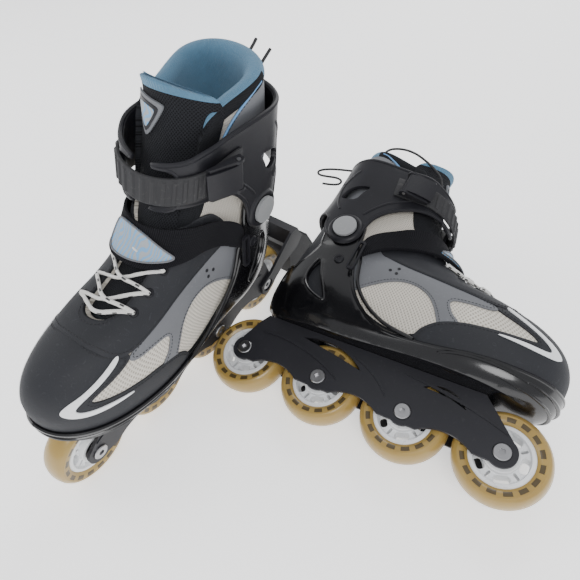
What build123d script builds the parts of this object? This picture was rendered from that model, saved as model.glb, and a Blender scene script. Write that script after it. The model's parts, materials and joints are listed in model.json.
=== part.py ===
from build123d import *
import os
from math import radians, tan

os.makedirs("parts", exist_ok=True)

# A pair of inline skates, in millimetres. Every piece is drawn once, as on the left skate, in the
# skate's own frame: X towards the toe, Y towards the outer side of the foot, Z up, X = 0 midway
# between the end axles and the axles at AXLE_HEIGHT. The right skate is its mirror image.

# Wheels, bearings and axles
WHEEL_RADIUS = 38.5
WHEEL_PITCH = 81.0
AXLE_HEIGHT = 40.0
TYRE_HALF_WIDTH = 12.0
HUB_RADIUS = 25.4
HUB_HALF_WIDTH = 10.0
BOSS_RADIUS = 14.0
BEARING_RADIUS = 11.0
BEARING_BORE = 4.0
BEARING_INNER_FACE = 5.15
BEARING_OUTER_FACE = 12.15
RUNNING_FIT = 0.05
AXLE_RADIUS = 3.97
SOCKET_WIDTH = 5.0
AXLES = [WHEEL_PITCH * (number - 1.5) for number in range(4)]

# Frame
FRAME_HALF_WIDTH = 18.0
FRAME_WALL = 3.0
FRAME_TOP = 80.4
LOBE_RADIUS = 12.0
ARCH_RADIUS = 40.0
ARCH_TOP = 37.5

# Shell, boot, liner and cuff are layers outside and inside the boot's outer surface
GAP = 0.4
SHELL_WALL = 4.0
BOOT_WALL = 4.0
LINER_WALL = 5.5
CUFF_GROWTH = 4.9
CUFF_SPREAD = 0.03
CUFF_WALL = 3.4
THROAT_HALF_WIDTH = 14.0
TONGUE_HALF_WIDTH = 23.6
TOE_IN = 3.0
INNER_TAPER = 0.20

# Ankle pivot
PIVOT_X = -78.0
PIVOT_Z = 187.0
PIVOT_RADIUS = 5.0
EAR_RADIUS = 19.0
SHELL_EAR_FACE = 41.0
CUFF_EAR_FACE = 45.4

# Buckle, on its own plane against the cuff's outer side
BUCKLE_X = -27.0
BUCKLE_Y = 47.6
BUCKLE_Z = 250.0
BUCKLE_TURN = -12.0
BUCKLE_LENGTH = 30.0
BUCKLE_WIDTH = 27.0
BUCKLE_PLATE = 1.6
CHEEK = 2.4
PIN_RADIUS = 1.6
PIN_LIFT = 5.2

# Cords: routes in the skate's frame
CORD_RADIUS = 1.25
TAIL_ROUTES = [
    [(-103.5, 9.0, 299.5), (-109.5, 9.6, 302.0), (-115.0, 9.4, 305.4), (-119.5, 8.8, 308.0)],
    [(-102.5, 19.0, 291.0), (-109.5, 19.6, 293.4), (-117.0, 19.4, 297.8), (-124.0, 18.8, 300.9)],
]
COLLAR_ROUTE = [(-86.0, 36.0, 298.0), (-84.5, 36.4, 306.5), (-72.0, 35.6, 312.0), (-56.0, 34.0, 311.5),
                (-40.0, 31.6, 304.5), (-26.0, 29.0, 296.0), (-15.5, 26.4, 286.5), (-12.6, 24.6, 275.0)]
PULL_ROUTE = [(-140.0, 25.0, 250.5), (-129.0, 25.6, 250.7), (-120.0, 25.8, 253.6), (-120.1, 25.6, 259.6),
              (-128.0, 25.4, 262.4), (-141.0, 25.0, 261.4), (-151.0, 24.8, 261.6), (-154.6, 24.6, 266.6),
              (-148.6, 24.6, 271.2), (-133.0, 24.8, 275.0), (-115.0, 25.0, 276.5)]

# Boot surface: height, heel X, toe X, half width at the ankle and at the ball of the foot, and how
# far a millimetre of growth lifts the level
LEVELS = [
    (85, -114, 130, 27, 38, -1.0),
    (92, -122, 142, 33, 44, -0.6),
    (106, -127, 148, 35, 47, 0.0),
    (124, -128, 149, 36, 47, 0.0),
    (140, -127, 142, 36, 44, 0.3),
    (152, -126, 127, 36, 40, 0.7),
    (161, -125, 105, 36, 36, 1.0),
    (168, -124, 78, 36, 33, 1.0),
    (177, -122, 51, 36, 32, 0.9),
    (190, -120, 29, 36, 31, 0.7),
    (206, -118, 15, 36, 31, 0.4),
    (228, -114, 5, 36, 31, 0.1),
    (260, -111, -3, 37, 32, 0.0),
    (300, -107, -12, 38, 33, 0.0),
    (350, -103, -22, 38, 33, 0.0),
]


def level_outline(level, growth):
    """The closed outline of the boot at one level: outer side from heel to toe, inner side back."""
    height, heel, toe, ankle, ball, lift = level
    inner_ball = growth + ball * (1.0 - INNER_TAPER * min(1.0, max(0.0, toe) / 140.0))
    heel -= growth
    toe += growth
    ankle += growth
    ball += growth
    ankle_x = heel + 0.30 * (toe - heel)
    ball_x = heel + 0.70 * (toe - heel)
    heel_pull = heel + 0.45 * (ankle_x - heel)
    toe_pull = ball_x + 0.62 * (toe - ball_x)
    reach = (ball_x - ankle_x) / 3
    tip = -TOE_IN * max(0.0, toe - 40.0) / 100.0
    with BuildLine() as outline:
        Bezier((heel, 0), (heel, 0.6 * ankle), (heel_pull, ankle), (ankle_x, ankle))
        Bezier((ankle_x, ankle), (ankle_x + reach, ankle), (ball_x - reach, ball), (ball_x, ball))
        Bezier((ball_x, ball), (toe_pull, ball), (toe, tip + 0.62 * ball), (toe, tip))
        Bezier((toe, tip), (toe, tip - 0.62 * inner_ball), (toe_pull, -inner_ball), (ball_x, -inner_ball))
        Bezier((ball_x, -inner_ball), (ball_x - reach, -inner_ball), (ankle_x + reach, -ankle),
               (ankle_x, -ankle))
        Bezier((ankle_x, -ankle), (heel_pull, -ankle), (heel, -0.6 * ankle), (heel, 0))
    return outline.line


def last(growth, spread=0.0):
    """The boot's outer form, grown outwards, and more so with height above the ankle pivot."""
    with BuildPart() as form:
        for level in LEVELS:
            more = growth + spread * max(0.0, level[0] - PIVOT_Z)
            with BuildSketch(Plane.XY.offset(level[0] + level[5] * growth)):
                with BuildLine():
                    add(level_outline(level, more))
                make_face()
        loft(ruled=True)
    return form.part


def layer(inside, outside, spread=0.0):
    """A wall between two growths of the last, closed below and open at the top."""
    outer = last(outside, spread)
    inner = last(inside, spread)
    outer_top = outer.faces().filter_by(Plane.XY).sort_by(Axis.Z)[-1]
    inner_top = inner.faces().filter_by(Plane.XY).sort_by(Axis.Z)[-1]
    walls = [face for face in outer.faces() if not face.is_same(outer_top)]
    walls += [face for face in inner.faces() if not face.is_same(inner_top)]
    return Solid(Shell(walls + [Face(outer_top.outer_wire(), [inner_top.outer_wire()])]))


def side_cylinder(radius, low, high, x=PIVOT_X, z=PIVOT_Z):
    """A cylinder along Y between two Y values."""
    return Pos(x, (low + high) / 2, z) * Rot(90, 0, 0) * Cylinder(radius, high - low, mode=Mode.PRIVATE)


def make_frame():
    with BuildPart() as frame:
        with BuildSketch(Plane.XZ) as wall:
            with BuildLine():
                Polyline((-129, 50), (-120, 72), (-115, FRAME_TOP), (97, FRAME_TOP), (131, 47),
                         (AXLES[3], 30), (AXLES[0], 30), close=True)
            make_face()
            with Locations(*[(x, AXLE_HEIGHT) for x in AXLES]):
                Circle(LOBE_RADIUS)
            with Locations(*[(x + WHEEL_PITCH / 2 - 3, ARCH_TOP - ARCH_RADIUS) for x in AXLES[:3]]):
                Circle(ARCH_RADIUS, mode=Mode.SUBTRACT)
            with BuildLine():
                ThreePointArc((-71, 71), (-42, 75), (-7, 60))
                ThreePointArc((-7, 60), (-38, 66), (-71, 71))
            make_face(mode=Mode.SUBTRACT)
            with BuildLine():
                ThreePointArc((48, 67), (68, 73), (87, 61))
                ThreePointArc((87, 61), (68, 66), (48, 67))
            make_face(mode=Mode.SUBTRACT)
        extrude(amount=FRAME_HALF_WIDTH, both=True)
        with Locations((0, 0, AXLE_HEIGHT)):
            Box(300, 2 * (FRAME_HALF_WIDTH - FRAME_WALL), 100, mode=Mode.SUBTRACT)
        for middle, low, high in ((80, 75.5, FRAME_TOP), (0, 70, 74), (-81, 75.5, FRAME_TOP)):
            with Locations((middle, 0, (low + high) / 2)):
                Box(34 if middle else 28, 2 * FRAME_HALF_WIDTH - 1, high - low)
        with Locations((80, 0, FRAME_TOP), (-81, 0, FRAME_TOP)):
            Hole(3.1, 10)
        for x in AXLES:
            for low, high in ((BEARING_OUTER_FACE + 0.1, 15.5), (-15.5, -BEARING_OUTER_FACE - 0.1)):
                add(side_cylinder(6.4, low, high, x, AXLE_HEIGHT))
            add(side_cylinder(AXLE_RADIUS + 0.03, -30, 30, x, AXLE_HEIGHT), mode=Mode.SUBTRACT)
            for low, high in ((17.2, 20.0), (-20.0, -17.2)):
                add(side_cylinder(7.4, low, high, x, AXLE_HEIGHT), mode=Mode.SUBTRACT)
        for start in (FRAME_HALF_WIDTH - 0.5, -FRAME_HALF_WIDTH - 0.9):
            with BuildSketch(Plane.XZ.offset(start)):
                with BuildLine():
                    ThreePointArc((-112, 62), (-70, 60), (-24, 44))
                    ThreePointArc((-24, 44), (-68, 63.5), (-112, 62))
                make_face()
                with BuildLine():
                    ThreePointArc((-18, 70), (2, 62), (22, 46))
                    ThreePointArc((22, 46), (4, 65), (-18, 70))
                make_face()
                with BuildLine():
                    ThreePointArc((30, 72), (75, 66), (122, 54))
                    ThreePointArc((122, 54), (78, 68.5), (30, 72))
                make_face()
            extrude(amount=1.4)
    return frame.part


def make_tyre(x):
    with BuildPart() as tyre:
        with BuildSketch(Plane.XY):
            with BuildLine():
                Polyline((33, -TYRE_HALF_WIDTH), (28, -11.4), (25.5, -9.6), (25.5, 9.6), (28, 11.4),
                         (33, TYRE_HALF_WIDTH))
                ThreePointArc((33, TYRE_HALF_WIDTH), (WHEEL_RADIUS, 0), (33, -TYRE_HALF_WIDTH))
            make_face()
        revolve(axis=Axis.Y)
    return Pos(x, 0, AXLE_HEIGHT) * tyre.part


def make_hub(x):
    with BuildPart() as hub:
        with BuildSketch(Plane.XY):
            with BuildLine():
                Polyline((HUB_RADIUS, -9.2), (HUB_RADIUS - 0.8, -HUB_HALF_WIDTH), (22, -HUB_HALF_WIDTH),
                         (21, -7), (BOSS_RADIUS, -6.5), (BOSS_RADIUS, -11.6), (13.5, -12.1),
                         (BEARING_RADIUS + RUNNING_FIT, -12.1), (BEARING_RADIUS + RUNNING_FIT, -5.05),
                         (9.2, -5.05), (9.2, 5.05), (BEARING_RADIUS + RUNNING_FIT, 5.05),
                         (BEARING_RADIUS + RUNNING_FIT, 12.1), (13.5, 12.1), (BOSS_RADIUS, 11.6),
                         (BOSS_RADIUS, 6.5), (21, 7), (22, HUB_HALF_WIDTH),
                         (HUB_RADIUS - 0.8, HUB_HALF_WIDTH), (HUB_RADIUS, 9.2), close=True)
            make_face()
        revolve(axis=Axis.Y)
        with BuildSketch(Plane.XZ):
            with PolarLocations(17.6, 5):
                RectangleRounded(6.4, 12.5, 2.6)
            with PolarLocations(17.6, 5, start_angle=36):
                SlotOverall(6.4, 2.4)
        extrude(amount=20, both=True, mode=Mode.SUBTRACT)
    return Pos(x, 0, AXLE_HEIGHT) * hub.part


def make_bearings():
    with BuildPart() as ring:
        with BuildSketch(Plane.XY):
            with BuildLine():
                Polyline((BEARING_BORE, BEARING_INNER_FACE), (BEARING_RADIUS, BEARING_INNER_FACE),
                         (BEARING_RADIUS, BEARING_OUTER_FACE), (9.4, BEARING_OUTER_FACE),
                         (9.4, BEARING_OUTER_FACE - 0.5), (6.0, BEARING_OUTER_FACE - 0.5),
                         (6.0, BEARING_OUTER_FACE), (BEARING_BORE, BEARING_OUTER_FACE), close=True)
            make_face()
        revolve(axis=Axis.Y)
    with BuildPart() as spacer:
        with BuildSketch(Plane.XZ):
            Circle(5.6)
            Circle(BEARING_BORE, mode=Mode.SUBTRACT)
        extrude(amount=BEARING_INNER_FACE - 0.05, both=True)
    other_ring = mirror(ring.part, about=Plane.XZ)
    with BuildPart() as bearings:
        for x in AXLES:
            add(Pos(x, 0, AXLE_HEIGHT) * ring.part)
            add(Pos(x, 0, AXLE_HEIGHT) * other_ring)
            add(Pos(x, 0, AXLE_HEIGHT) * spacer.part)
    return bearings.part


def make_axle_bolts():
    with BuildPart() as bolts:
        for x in AXLES:
            add(side_cylinder(AXLE_RADIUS, -17.6, 17.6, x, AXLE_HEIGHT))
            for low, high in ((17.3, 19.8), (-19.8, -17.3)):
                add(side_cylinder(6.9, low, high, x, AXLE_HEIGHT))
        chamfer(bolts.faces().filter_by(Axis.Y).group_by(Axis.Y)[-1].edges(), 0.7)
        for x in AXLES:
            for start in (-20, 17.2):
                with BuildSketch(Plane(origin=(x, start, AXLE_HEIGHT), x_dir=(1, 0, 0), z_dir=(0, 1, 0))):
                    RegularPolygon(SOCKET_WIDTH / 2, 6, major_radius=False)
                extrude(amount=2.8, mode=Mode.SUBTRACT)
    return bolts.part


def make_frame_bolts():
    with BuildPart() as bolts:
        for x in (80, -81):
            with Locations((x, 0, 78.5)):
                Cylinder(3.0, 12.4)
            with Locations((x, 0, 86.2)):
                Cylinder(6.5, 3.0)
        for x in (80, -81):
            with BuildSketch(Plane.XY.offset(86.0)):
                with Locations((x, 0)):
                    RegularPolygon(2.5, 6, major_radius=False)
            extrude(amount=3, mode=Mode.SUBTRACT)
    return bolts.part


def make_shell():
    with BuildPart() as shell:
        add(layer(GAP, GAP + SHELL_WALL))
        with BuildSketch(Plane.XZ):
            with BuildLine():
                Polyline((170, 75), (170, 103), (118, 101), (54, 96))
                ThreePointArc((54, 96), (-14, 97), (-50, 135))
                Line((-50, 135), (-57, 165))
                ThreePointArc((-57, 165), (-58, 187), (PIVOT_X + EAR_RADIUS - 1.5, 194))
                ThreePointArc((PIVOT_X + EAR_RADIUS - 1.5, 194), (PIVOT_X, PIVOT_Z + EAR_RADIUS),
                              (PIVOT_X - EAR_RADIUS + 1.5, 194))
                Polyline((PIVOT_X - EAR_RADIUS + 1.5, 194), (-98, 176), (-94, 164), (-104, 143),
                         (-112, 136), (-150, 140), (-150, 75), (170, 75))
            make_face()
            with BuildLine():
                Polyline((-85, 150), (-94, 136), (-92, 122))
                ThreePointArc((-92, 122), (-80, 111), (-59, 104))
                Line((-59, 104), (-85, 150))
            make_face(mode=Mode.SUBTRACT)
        extrude(amount=90, both=True, mode=Mode.INTERSECT)
        for start in (FRAME_HALF_WIDTH + 1.0, -FRAME_HALF_WIDTH - 3.6):
            with BuildSketch(Plane.XZ.offset(start)):
                with BuildLine():
                    Polyline((-64, 84), (-44, 76), (-6, 67.5))
                    ThreePointArc((-6, 67.5), (14, 63.5), (32, 73))
                    Polyline((32, 73), (46, 80.5), (46, 84), (-64, 84))
                make_face()
            extrude(amount=2.6)
        for low, high in ((SHELL_EAR_FACE - 4.4, SHELL_EAR_FACE), (-SHELL_EAR_FACE, 4.4 - SHELL_EAR_FACE)):
            add(side_cylinder(EAR_RADIUS - 1.5, low, high))
        for low, high in ((SHELL_EAR_FACE, 70), (-70, -SHELL_EAR_FACE)):
            add(side_cylinder(EAR_RADIUS + 2.5, low, high), mode=Mode.SUBTRACT)
        add(side_cylinder(PIVOT_RADIUS + 0.02, -80, 80), mode=Mode.SUBTRACT)
        with Locations((80, 0, 90), (-81, 0, 90)):
            Cylinder(3.1, 30, mode=Mode.SUBTRACT)
            Cylinder(6.8, 10.2, mode=Mode.SUBTRACT)
    return shell.part


def collar_plane(lift):
    """The slanting plane that the boot's collar is cut to."""
    return Plane(origin=(-105, 0, 303 + lift), x_dir=(0.97, 0, -0.243), z_dir=(0.243, 0, 0.97))


def throat(half_width, front):
    """The block that opens the front of the boot, from the toe box up to the collar."""
    with BuildPart() as block:
        with BuildSketch(Plane.XZ):
            with BuildLine():
                Polyline((front, 230), (front, 150), (0, 150), (-52, 210), (-60, 370), (60, 370), close=True)
            make_face()
        extrude(amount=half_width, both=True)
    return block.part


def make_boot():
    with BuildPart() as boot:
        add(layer(-BOOT_WALL, 0.0))
        add(throat(THROAT_HALF_WIDTH, 72), mode=Mode.SUBTRACT)
        with Locations((80, 0, 87), (-81, 0, 87)):
            Cylinder(7.0, 8, mode=Mode.SUBTRACT)
        split(bisect_by=collar_plane(0), keep=Keep.BOTTOM)
    return boot.part


def make_liner():
    with BuildPart() as liner:
        add(layer(-BOOT_WALL - GAP - LINER_WALL, -BOOT_WALL - GAP))
        add(throat(TONGUE_HALF_WIDTH + GAP, 76), mode=Mode.SUBTRACT)
        split(bisect_by=collar_plane(3), keep=Keep.BOTTOM)
    return liner.part


def make_tongue():
    with BuildPart() as tongue:
        add(layer(-BOOT_WALL - GAP - LINER_WALL, -BOOT_WALL - GAP))
        add(throat(TONGUE_HALF_WIDTH, 74), mode=Mode.INTERSECT)
        split(bisect_by=Plane.XY.offset(326), keep=Keep.BOTTOM)
    return tongue.part


def make_footbed():
    with BuildPart() as footbed:
        with BuildSketch(Plane.XY.offset(95.4)):
            with BuildLine():
                add(level_outline(LEVELS[0], -11.0))
            make_face()
        extrude(amount=3.4)
    return footbed.part


def instep_band():
    """The strap's band over the instep, as a block between two slanting edges."""
    with BuildPart() as band:
        with BuildSketch(Plane.XZ):
            with BuildLine():
                Polyline((-54, 150), (-55, 176), (-46, 189), (-22, 206), (0, 214), (28, 212), (40, 186),
                         (18, 184), (-14, 180), (-32, 172), (-42, 156), close=True)
            make_face()
        extrude(amount=90, both=True)
    return band.part


def make_instep_strap():
    with BuildPart() as strap:
        add(layer(SHELL_WALL + 1.0, SHELL_WALL + 3.2))
        add(instep_band(), mode=Mode.INTERSECT)
    return strap.part


def make_strap_loop():
    with BuildPart() as loop:
        with BuildSketch(Plane.XZ.offset(-47.5)):
            with Locations((-52, 158)):
                RectangleRounded(8, 34, 3)
                RectangleRounded(4, 29, 1.6, mode=Mode.SUBTRACT)
        extrude(amount=2.4)
    return loop.part


def make_cuff():
    with BuildPart() as cuff:
        add(layer(CUFF_GROWTH, CUFF_GROWTH + CUFF_WALL, CUFF_SPREAD))
        with BuildSketch(Plane.XZ):
            with BuildLine():
                Polyline((-160, 207), (-104, 205), (PIVOT_X - EAR_RADIUS, 196))
                ThreePointArc((PIVOT_X - EAR_RADIUS, 196), (PIVOT_X, PIVOT_Z - EAR_RADIUS - 1),
                              (PIVOT_X + EAR_RADIUS, 196))
                ThreePointArc((PIVOT_X + EAR_RADIUS, 196), (-48, 222), (-24, 232))
                ThreePointArc((-24, 232), (-6, 233), (8, 226))
                Polyline((8, 226), (40, 224), (40, 268), (0, 270), (-22, 278))
                ThreePointArc((-22, 278), (-70, 285), (-110, 283))
                Polyline((-110, 283), (-160, 279), (-160, 207))
            make_face()
            with BuildLine():
                ThreePointArc((-95, 226), (-86, 238), (-72, 241))
                ThreePointArc((-72, 241), (-81, 232), (-82, 222))
                Line((-82, 222), (-95, 226))
            make_face(mode=Mode.SUBTRACT)
        extrude(amount=90, both=True, mode=Mode.INTERSECT)
        add(side_cylinder(EAR_RADIUS, SHELL_EAR_FACE + 0.3, CUFF_EAR_FACE))
        add(side_cylinder(EAR_RADIUS, -CUFF_EAR_FACE, -SHELL_EAR_FACE - 0.3))
        for low, high in ((CUFF_EAR_FACE, 70), (-70, -CUFF_EAR_FACE)):
            add(side_cylinder(PIVOT_RADIUS + 8.5, low, high), mode=Mode.SUBTRACT)
        add(side_cylinder(EAR_RADIUS + 3, -SHELL_EAR_FACE - 0.3, SHELL_EAR_FACE + 0.3), mode=Mode.SUBTRACT)
        add(side_cylinder(PIVOT_RADIUS + RUNNING_FIT, -80, 80), mode=Mode.SUBTRACT)
        with Locations((10, 0, 240)):
            Box(60, 44, 120, mode=Mode.SUBTRACT)
    return cuff.part


def make_cuff_pivots():
    with BuildPart() as pivots:
        add(side_cylinder(PIVOT_RADIUS, 36.9, CUFF_EAR_FACE + 0.5))
        add(side_cylinder(12.0, CUFF_EAR_FACE + 0.4, CUFF_EAR_FACE + 3.0))
        add(side_cylinder(PIVOT_RADIUS, -CUFF_EAR_FACE - 0.5, -36.9))
        add(side_cylinder(12.0, -CUFF_EAR_FACE - 3.0, -CUFF_EAR_FACE - 0.4))
    return pivots.part


def make_ladder_strap():
    with BuildPart() as strap:
        add(layer(CUFF_GROWTH + CUFF_WALL + GAP, CUFF_GROWTH + CUFF_WALL + GAP + 2.4, CUFF_SPREAD))
        with BuildSketch(Plane.XZ):
            with BuildLine():
                Polyline((-46, 240), (-44, 262), (0, 259), (40, 252), (40, 231), (0, 238), close=True)
            make_face()
        extrude(amount=90, both=True, mode=Mode.INTERSECT)
    return strap.part


def buckle_place():
    """The buckle's own frame: X along the strap, Y outwards, Z across the strap."""
    return Pos(BUCKLE_X, BUCKLE_Y, BUCKLE_Z) * Rot(0, 0, BUCKLE_TURN)


def make_buckle_base():
    with BuildPart() as base:
        with Locations((0, BUCKLE_PLATE / 2, 0)):
            Box(BUCKLE_LENGTH, BUCKLE_PLATE, BUCKLE_WIDTH)
        for side in (-1, 1):
            with BuildSketch(Plane.XY.offset(side * (BUCKLE_WIDTH / 2 - CHEEK / 2) - CHEEK / 2)):
                with BuildLine():
                    Polyline((-14, 0), (-15, 4.5))
                    ThreePointArc((-15, 4.5), (-11, 8.2), (-6, 7.0))
                    Polyline((-6, 7.0), (14, 3.0), (15, 0), (-14, 0))
                make_face()
            extrude(amount=CHEEK)
        with Locations((-10, PIN_LIFT, 0)):
            Cylinder(PIN_RADIUS + 0.02, 60, mode=Mode.SUBTRACT)
    return buckle_place() * base.part


def make_buckle_lever():
    inner = BUCKLE_WIDTH / 2 - CHEEK - 0.4
    with BuildPart() as lever:
        with BuildSketch(Plane.XY.offset(-inner)):
            with BuildLine():
                ThreePointArc((-10, 7.9), (-12.7, 5.2), (-10, 2.5))
                Line((-10, 2.5), (-6, 3.6))
                ThreePointArc((-6, 3.6), (4, 3.2), (17, 1.2))
                Line((17, 1.2), (17.5, 3.4))
                ThreePointArc((17.5, 3.4), (4, 7.2), (-10, 7.9))
            make_face()
        extrude(amount=2 * inner)
        with Locations((-10, PIN_LIFT, 0)):
            Cylinder(PIN_RADIUS + RUNNING_FIT, 60, mode=Mode.SUBTRACT)
    return buckle_place() * lever.part


def make_buckle_pin():
    with BuildPart() as pin:
        with Locations((-10, PIN_LIFT, 0)):
            Cylinder(PIN_RADIUS, BUCKLE_WIDTH + 1.2)
    return buckle_place() * pin.part


def throat_places():
    """The outer eyelets' places, X, Y and Z, and the lace's X and Z over the middle of the tongue."""
    return [(-4, 26, 190, 18, 208.5), (17, 25.5, 180, 35, 191.5), (38, 25, 172, 54.5, 180),
            (59, 24, 165, 75, 173)]


def make_eyelets():
    with BuildPart() as eyelets:
        for x, y, z, middle_x, middle_z in throat_places():
            for side in (1, -1):
                seat = Plane(origin=(x, side * y, z), x_dir=(1, 0, 0), z_dir=(0.25, side * 0.62, 0.75))
                with BuildSketch(seat):
                    Circle(3.4)
                    Circle(1.9, mode=Mode.SUBTRACT)
                extrude(amount=3.0)
    return eyelets.part


def make_lace():
    with BuildPart() as lace:
        for x, y, z, middle_x, middle_z in throat_places():
            with BuildLine() as row:
                ThreePointArc((x, y + 1, z + 3), (middle_x, 0, middle_z), (x, -y - 1, z + 3))
            with BuildSketch(Plane(origin=row.line @ 0, z_dir=row.line % 0)):
                Circle(1.6)
            sweep()
    return lace.part


def make_brake_arm():
    with BuildPart() as arm:
        with BuildSketch(Plane.XZ):
            with BuildLine():
                Polyline((AXLES[0], 29), (-112, 33), (-110, 46), (-126, 53), (-164, 84), (-176, 84),
                         (-186, 66), (-178, 56), (-150, 48), close=True)
            make_face()
        extrude(amount=FRAME_HALF_WIDTH + 3.2, both=True)
        with Locations((-150, 0, 50)):
            Box(200, 2 * FRAME_HALF_WIDTH + 0.6, 100, mode=Mode.SUBTRACT)
        with BuildSketch(Plane.XZ):
            with BuildLine():
                Polyline((-163, 66), (-166, 84), (-176, 84), (-186, 66), (-178, 56), (-166, 57), close=True)
            make_face()
        extrude(amount=FRAME_HALF_WIDTH + 3.2, both=True)
        add(side_cylinder(7.4, -40, 40, AXLES[0], AXLE_HEIGHT), mode=Mode.SUBTRACT)
    return arm.part


def make_brake_pad():
    with BuildPart() as pad:
        with BuildSketch(Plane.XZ):
            with BuildLine():
                Polyline((-165, 56.6), (-178, 55.6), (-186, 65), (-198, 58), (-226, 12), (-222, 5),
                         (-172, 9), (-168, 30), close=True)
            make_face()
        extrude(amount=19, both=True)
    return pad.part


def make_cord(route):
    """A round cord along straight runs joined by arcs as large as the runs allow."""
    radii = []
    for before, corner, after in zip(route, route[1:], route[2:]):
        arriving = Vector(*corner) - Vector(*before)
        leaving = Vector(*after) - Vector(*corner)
        half_turn = radians(arriving.get_angle(leaving) / 2)
        radii.append(0.45 * min(arriving.length, leaving.length) / tan(half_turn))
    with BuildPart() as cord:
        with BuildLine() as path:
            FilletPolyline(*route, radius=radii)
        with BuildSketch(Plane(origin=path.line @ 0, z_dir=path.line % 0)):
            Circle(CORD_RADIUS)
        sweep()
    length = sum(edge.length for edge in path.edges())
    print("cord", round(length, 1), "mm, arcs", [round(radius, 1) for radius in radii])
    return cord.part


# Places of the two skates on the floor. The left skate stands on its wheels and leans a little to
# its outer side. The right skate lies on its inner side, across the left one's toe-to-heel line.
LEFT_ORIGIN = (-155.04, -83.22, -1.43)
LEFT_LEAN = 6.17
RIGHT_OFFSET = (183.0, 8.7, 17.75)
RIGHT_HEADING = 2.96
RIGHT_TOE_UP = 3.0
RIGHT_ROLL = -74.04
LEFT_PLACE = Pos(*LEFT_ORIGIN) * Rot(0, LEFT_LEAN, 0) * Rot(0, 0, -90)
RIGHT_ORIGIN = tuple(a + b for a, b in zip(LEFT_ORIGIN, RIGHT_OFFSET))
RIGHT_PLACE = (Pos(*RIGHT_ORIGIN) * Rot(0, 0, RIGHT_HEADING) * Rot(0, -RIGHT_TOE_UP, 0)
               * Rot(RIGHT_ROLL, 0, 0))

PIECES = {
    "frame": make_frame(), "shell": make_shell(), "boot": make_boot(), "liner": make_liner(),
    "tongue": make_tongue(), "footbed": make_footbed(), "lace": make_lace(), "eyelets": make_eyelets(),
    "instep_strap": make_instep_strap(), "strap_loop": make_strap_loop(), "cuff": make_cuff(),
    "cuff_pivots": make_cuff_pivots(), "ladder_strap": make_ladder_strap(),
    "buckle_base": make_buckle_base(), "buckle_lever": make_buckle_lever(),
    "buckle_pin": make_buckle_pin(), "frame_bolts": make_frame_bolts(),
    "axle_bolts": make_axle_bolts(), "bearings": make_bearings(),
}
for number, axle in enumerate(AXLES, start=1):
    PIECES[f"tyre_{number}"] = make_tyre(axle)
    PIECES[f"hub_{number}"] = make_hub(axle)

for name, piece in PIECES.items():
    left = LEFT_PLACE * piece
    left.label = f"left_{name}"
    export_step(left, f"parts/left_{name}.step")
    right = RIGHT_PLACE * mirror(piece, about=Plane.XZ)
    right.label = f"right_{name}"
    export_step(right, f"parts/right_{name}.step")

LEFT_ONLY = {
    "brake_arm": make_brake_arm(), "brake_pad": make_brake_pad(),
    "left_tail_1": make_cord(TAIL_ROUTES[0]), "left_tail_2": make_cord(TAIL_ROUTES[1]),
}
RIGHT_ONLY = {"right_collar_cord": make_cord(COLLAR_ROUTE), "right_pull_cord": make_cord(PULL_ROUTE)}
for name, piece in LEFT_ONLY.items():
    left = LEFT_PLACE * piece
    left.label = name
    export_step(left, f"parts/{name}.step")
for name, piece in RIGHT_ONLY.items():
    right = RIGHT_PLACE * mirror(piece, about=Plane.XZ)
    right.label = name
    export_step(right, f"parts/{name}.step")
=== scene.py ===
import json
import math
import bpy
import bmesh
import numpy as np
from mathutils import Matrix, Vector
from mathutils.geometry import delaunay_2d_cdt


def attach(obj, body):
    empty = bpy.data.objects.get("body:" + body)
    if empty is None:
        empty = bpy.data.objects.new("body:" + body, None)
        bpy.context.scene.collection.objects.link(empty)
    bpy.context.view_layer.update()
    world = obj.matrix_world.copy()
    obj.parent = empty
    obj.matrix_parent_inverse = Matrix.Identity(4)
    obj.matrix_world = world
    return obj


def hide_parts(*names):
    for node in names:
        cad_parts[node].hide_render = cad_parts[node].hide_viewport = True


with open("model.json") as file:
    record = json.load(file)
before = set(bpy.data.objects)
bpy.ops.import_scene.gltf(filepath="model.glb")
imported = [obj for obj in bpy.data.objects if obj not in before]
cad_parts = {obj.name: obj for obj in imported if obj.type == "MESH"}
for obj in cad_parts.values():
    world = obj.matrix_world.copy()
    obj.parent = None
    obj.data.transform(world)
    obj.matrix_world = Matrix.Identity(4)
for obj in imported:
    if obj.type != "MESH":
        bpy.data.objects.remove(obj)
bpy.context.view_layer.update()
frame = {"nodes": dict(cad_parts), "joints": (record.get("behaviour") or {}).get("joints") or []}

# A pair of inline skates. Soft and moulded pieces are drawn once, in millimetres, in the skate's own
# frame: X towards the toe, Y towards the outer side, Z up. The frame's wheel axes then say where
# each skate stands, and the right one is the mirror image of the left.
MM = 0.001
AXLE_HEIGHT = 40.0
PIVOT_X = -78.0
PIVOT_Z = 187.0
INNER_TAPER = 0.20
TOE_IN = 3.0
WELD = 0.01
CUFF_SPREAD = 0.03
CUFF_LOW, CUFF_HIGH = 4.9, 8.3
SHELL_LOW, SHELL_HIGH = 0.4, 4.4
LADDER_LOW, LADDER_HIGH = 240.0, 262.0
SIDES = ("left", "right")

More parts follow.
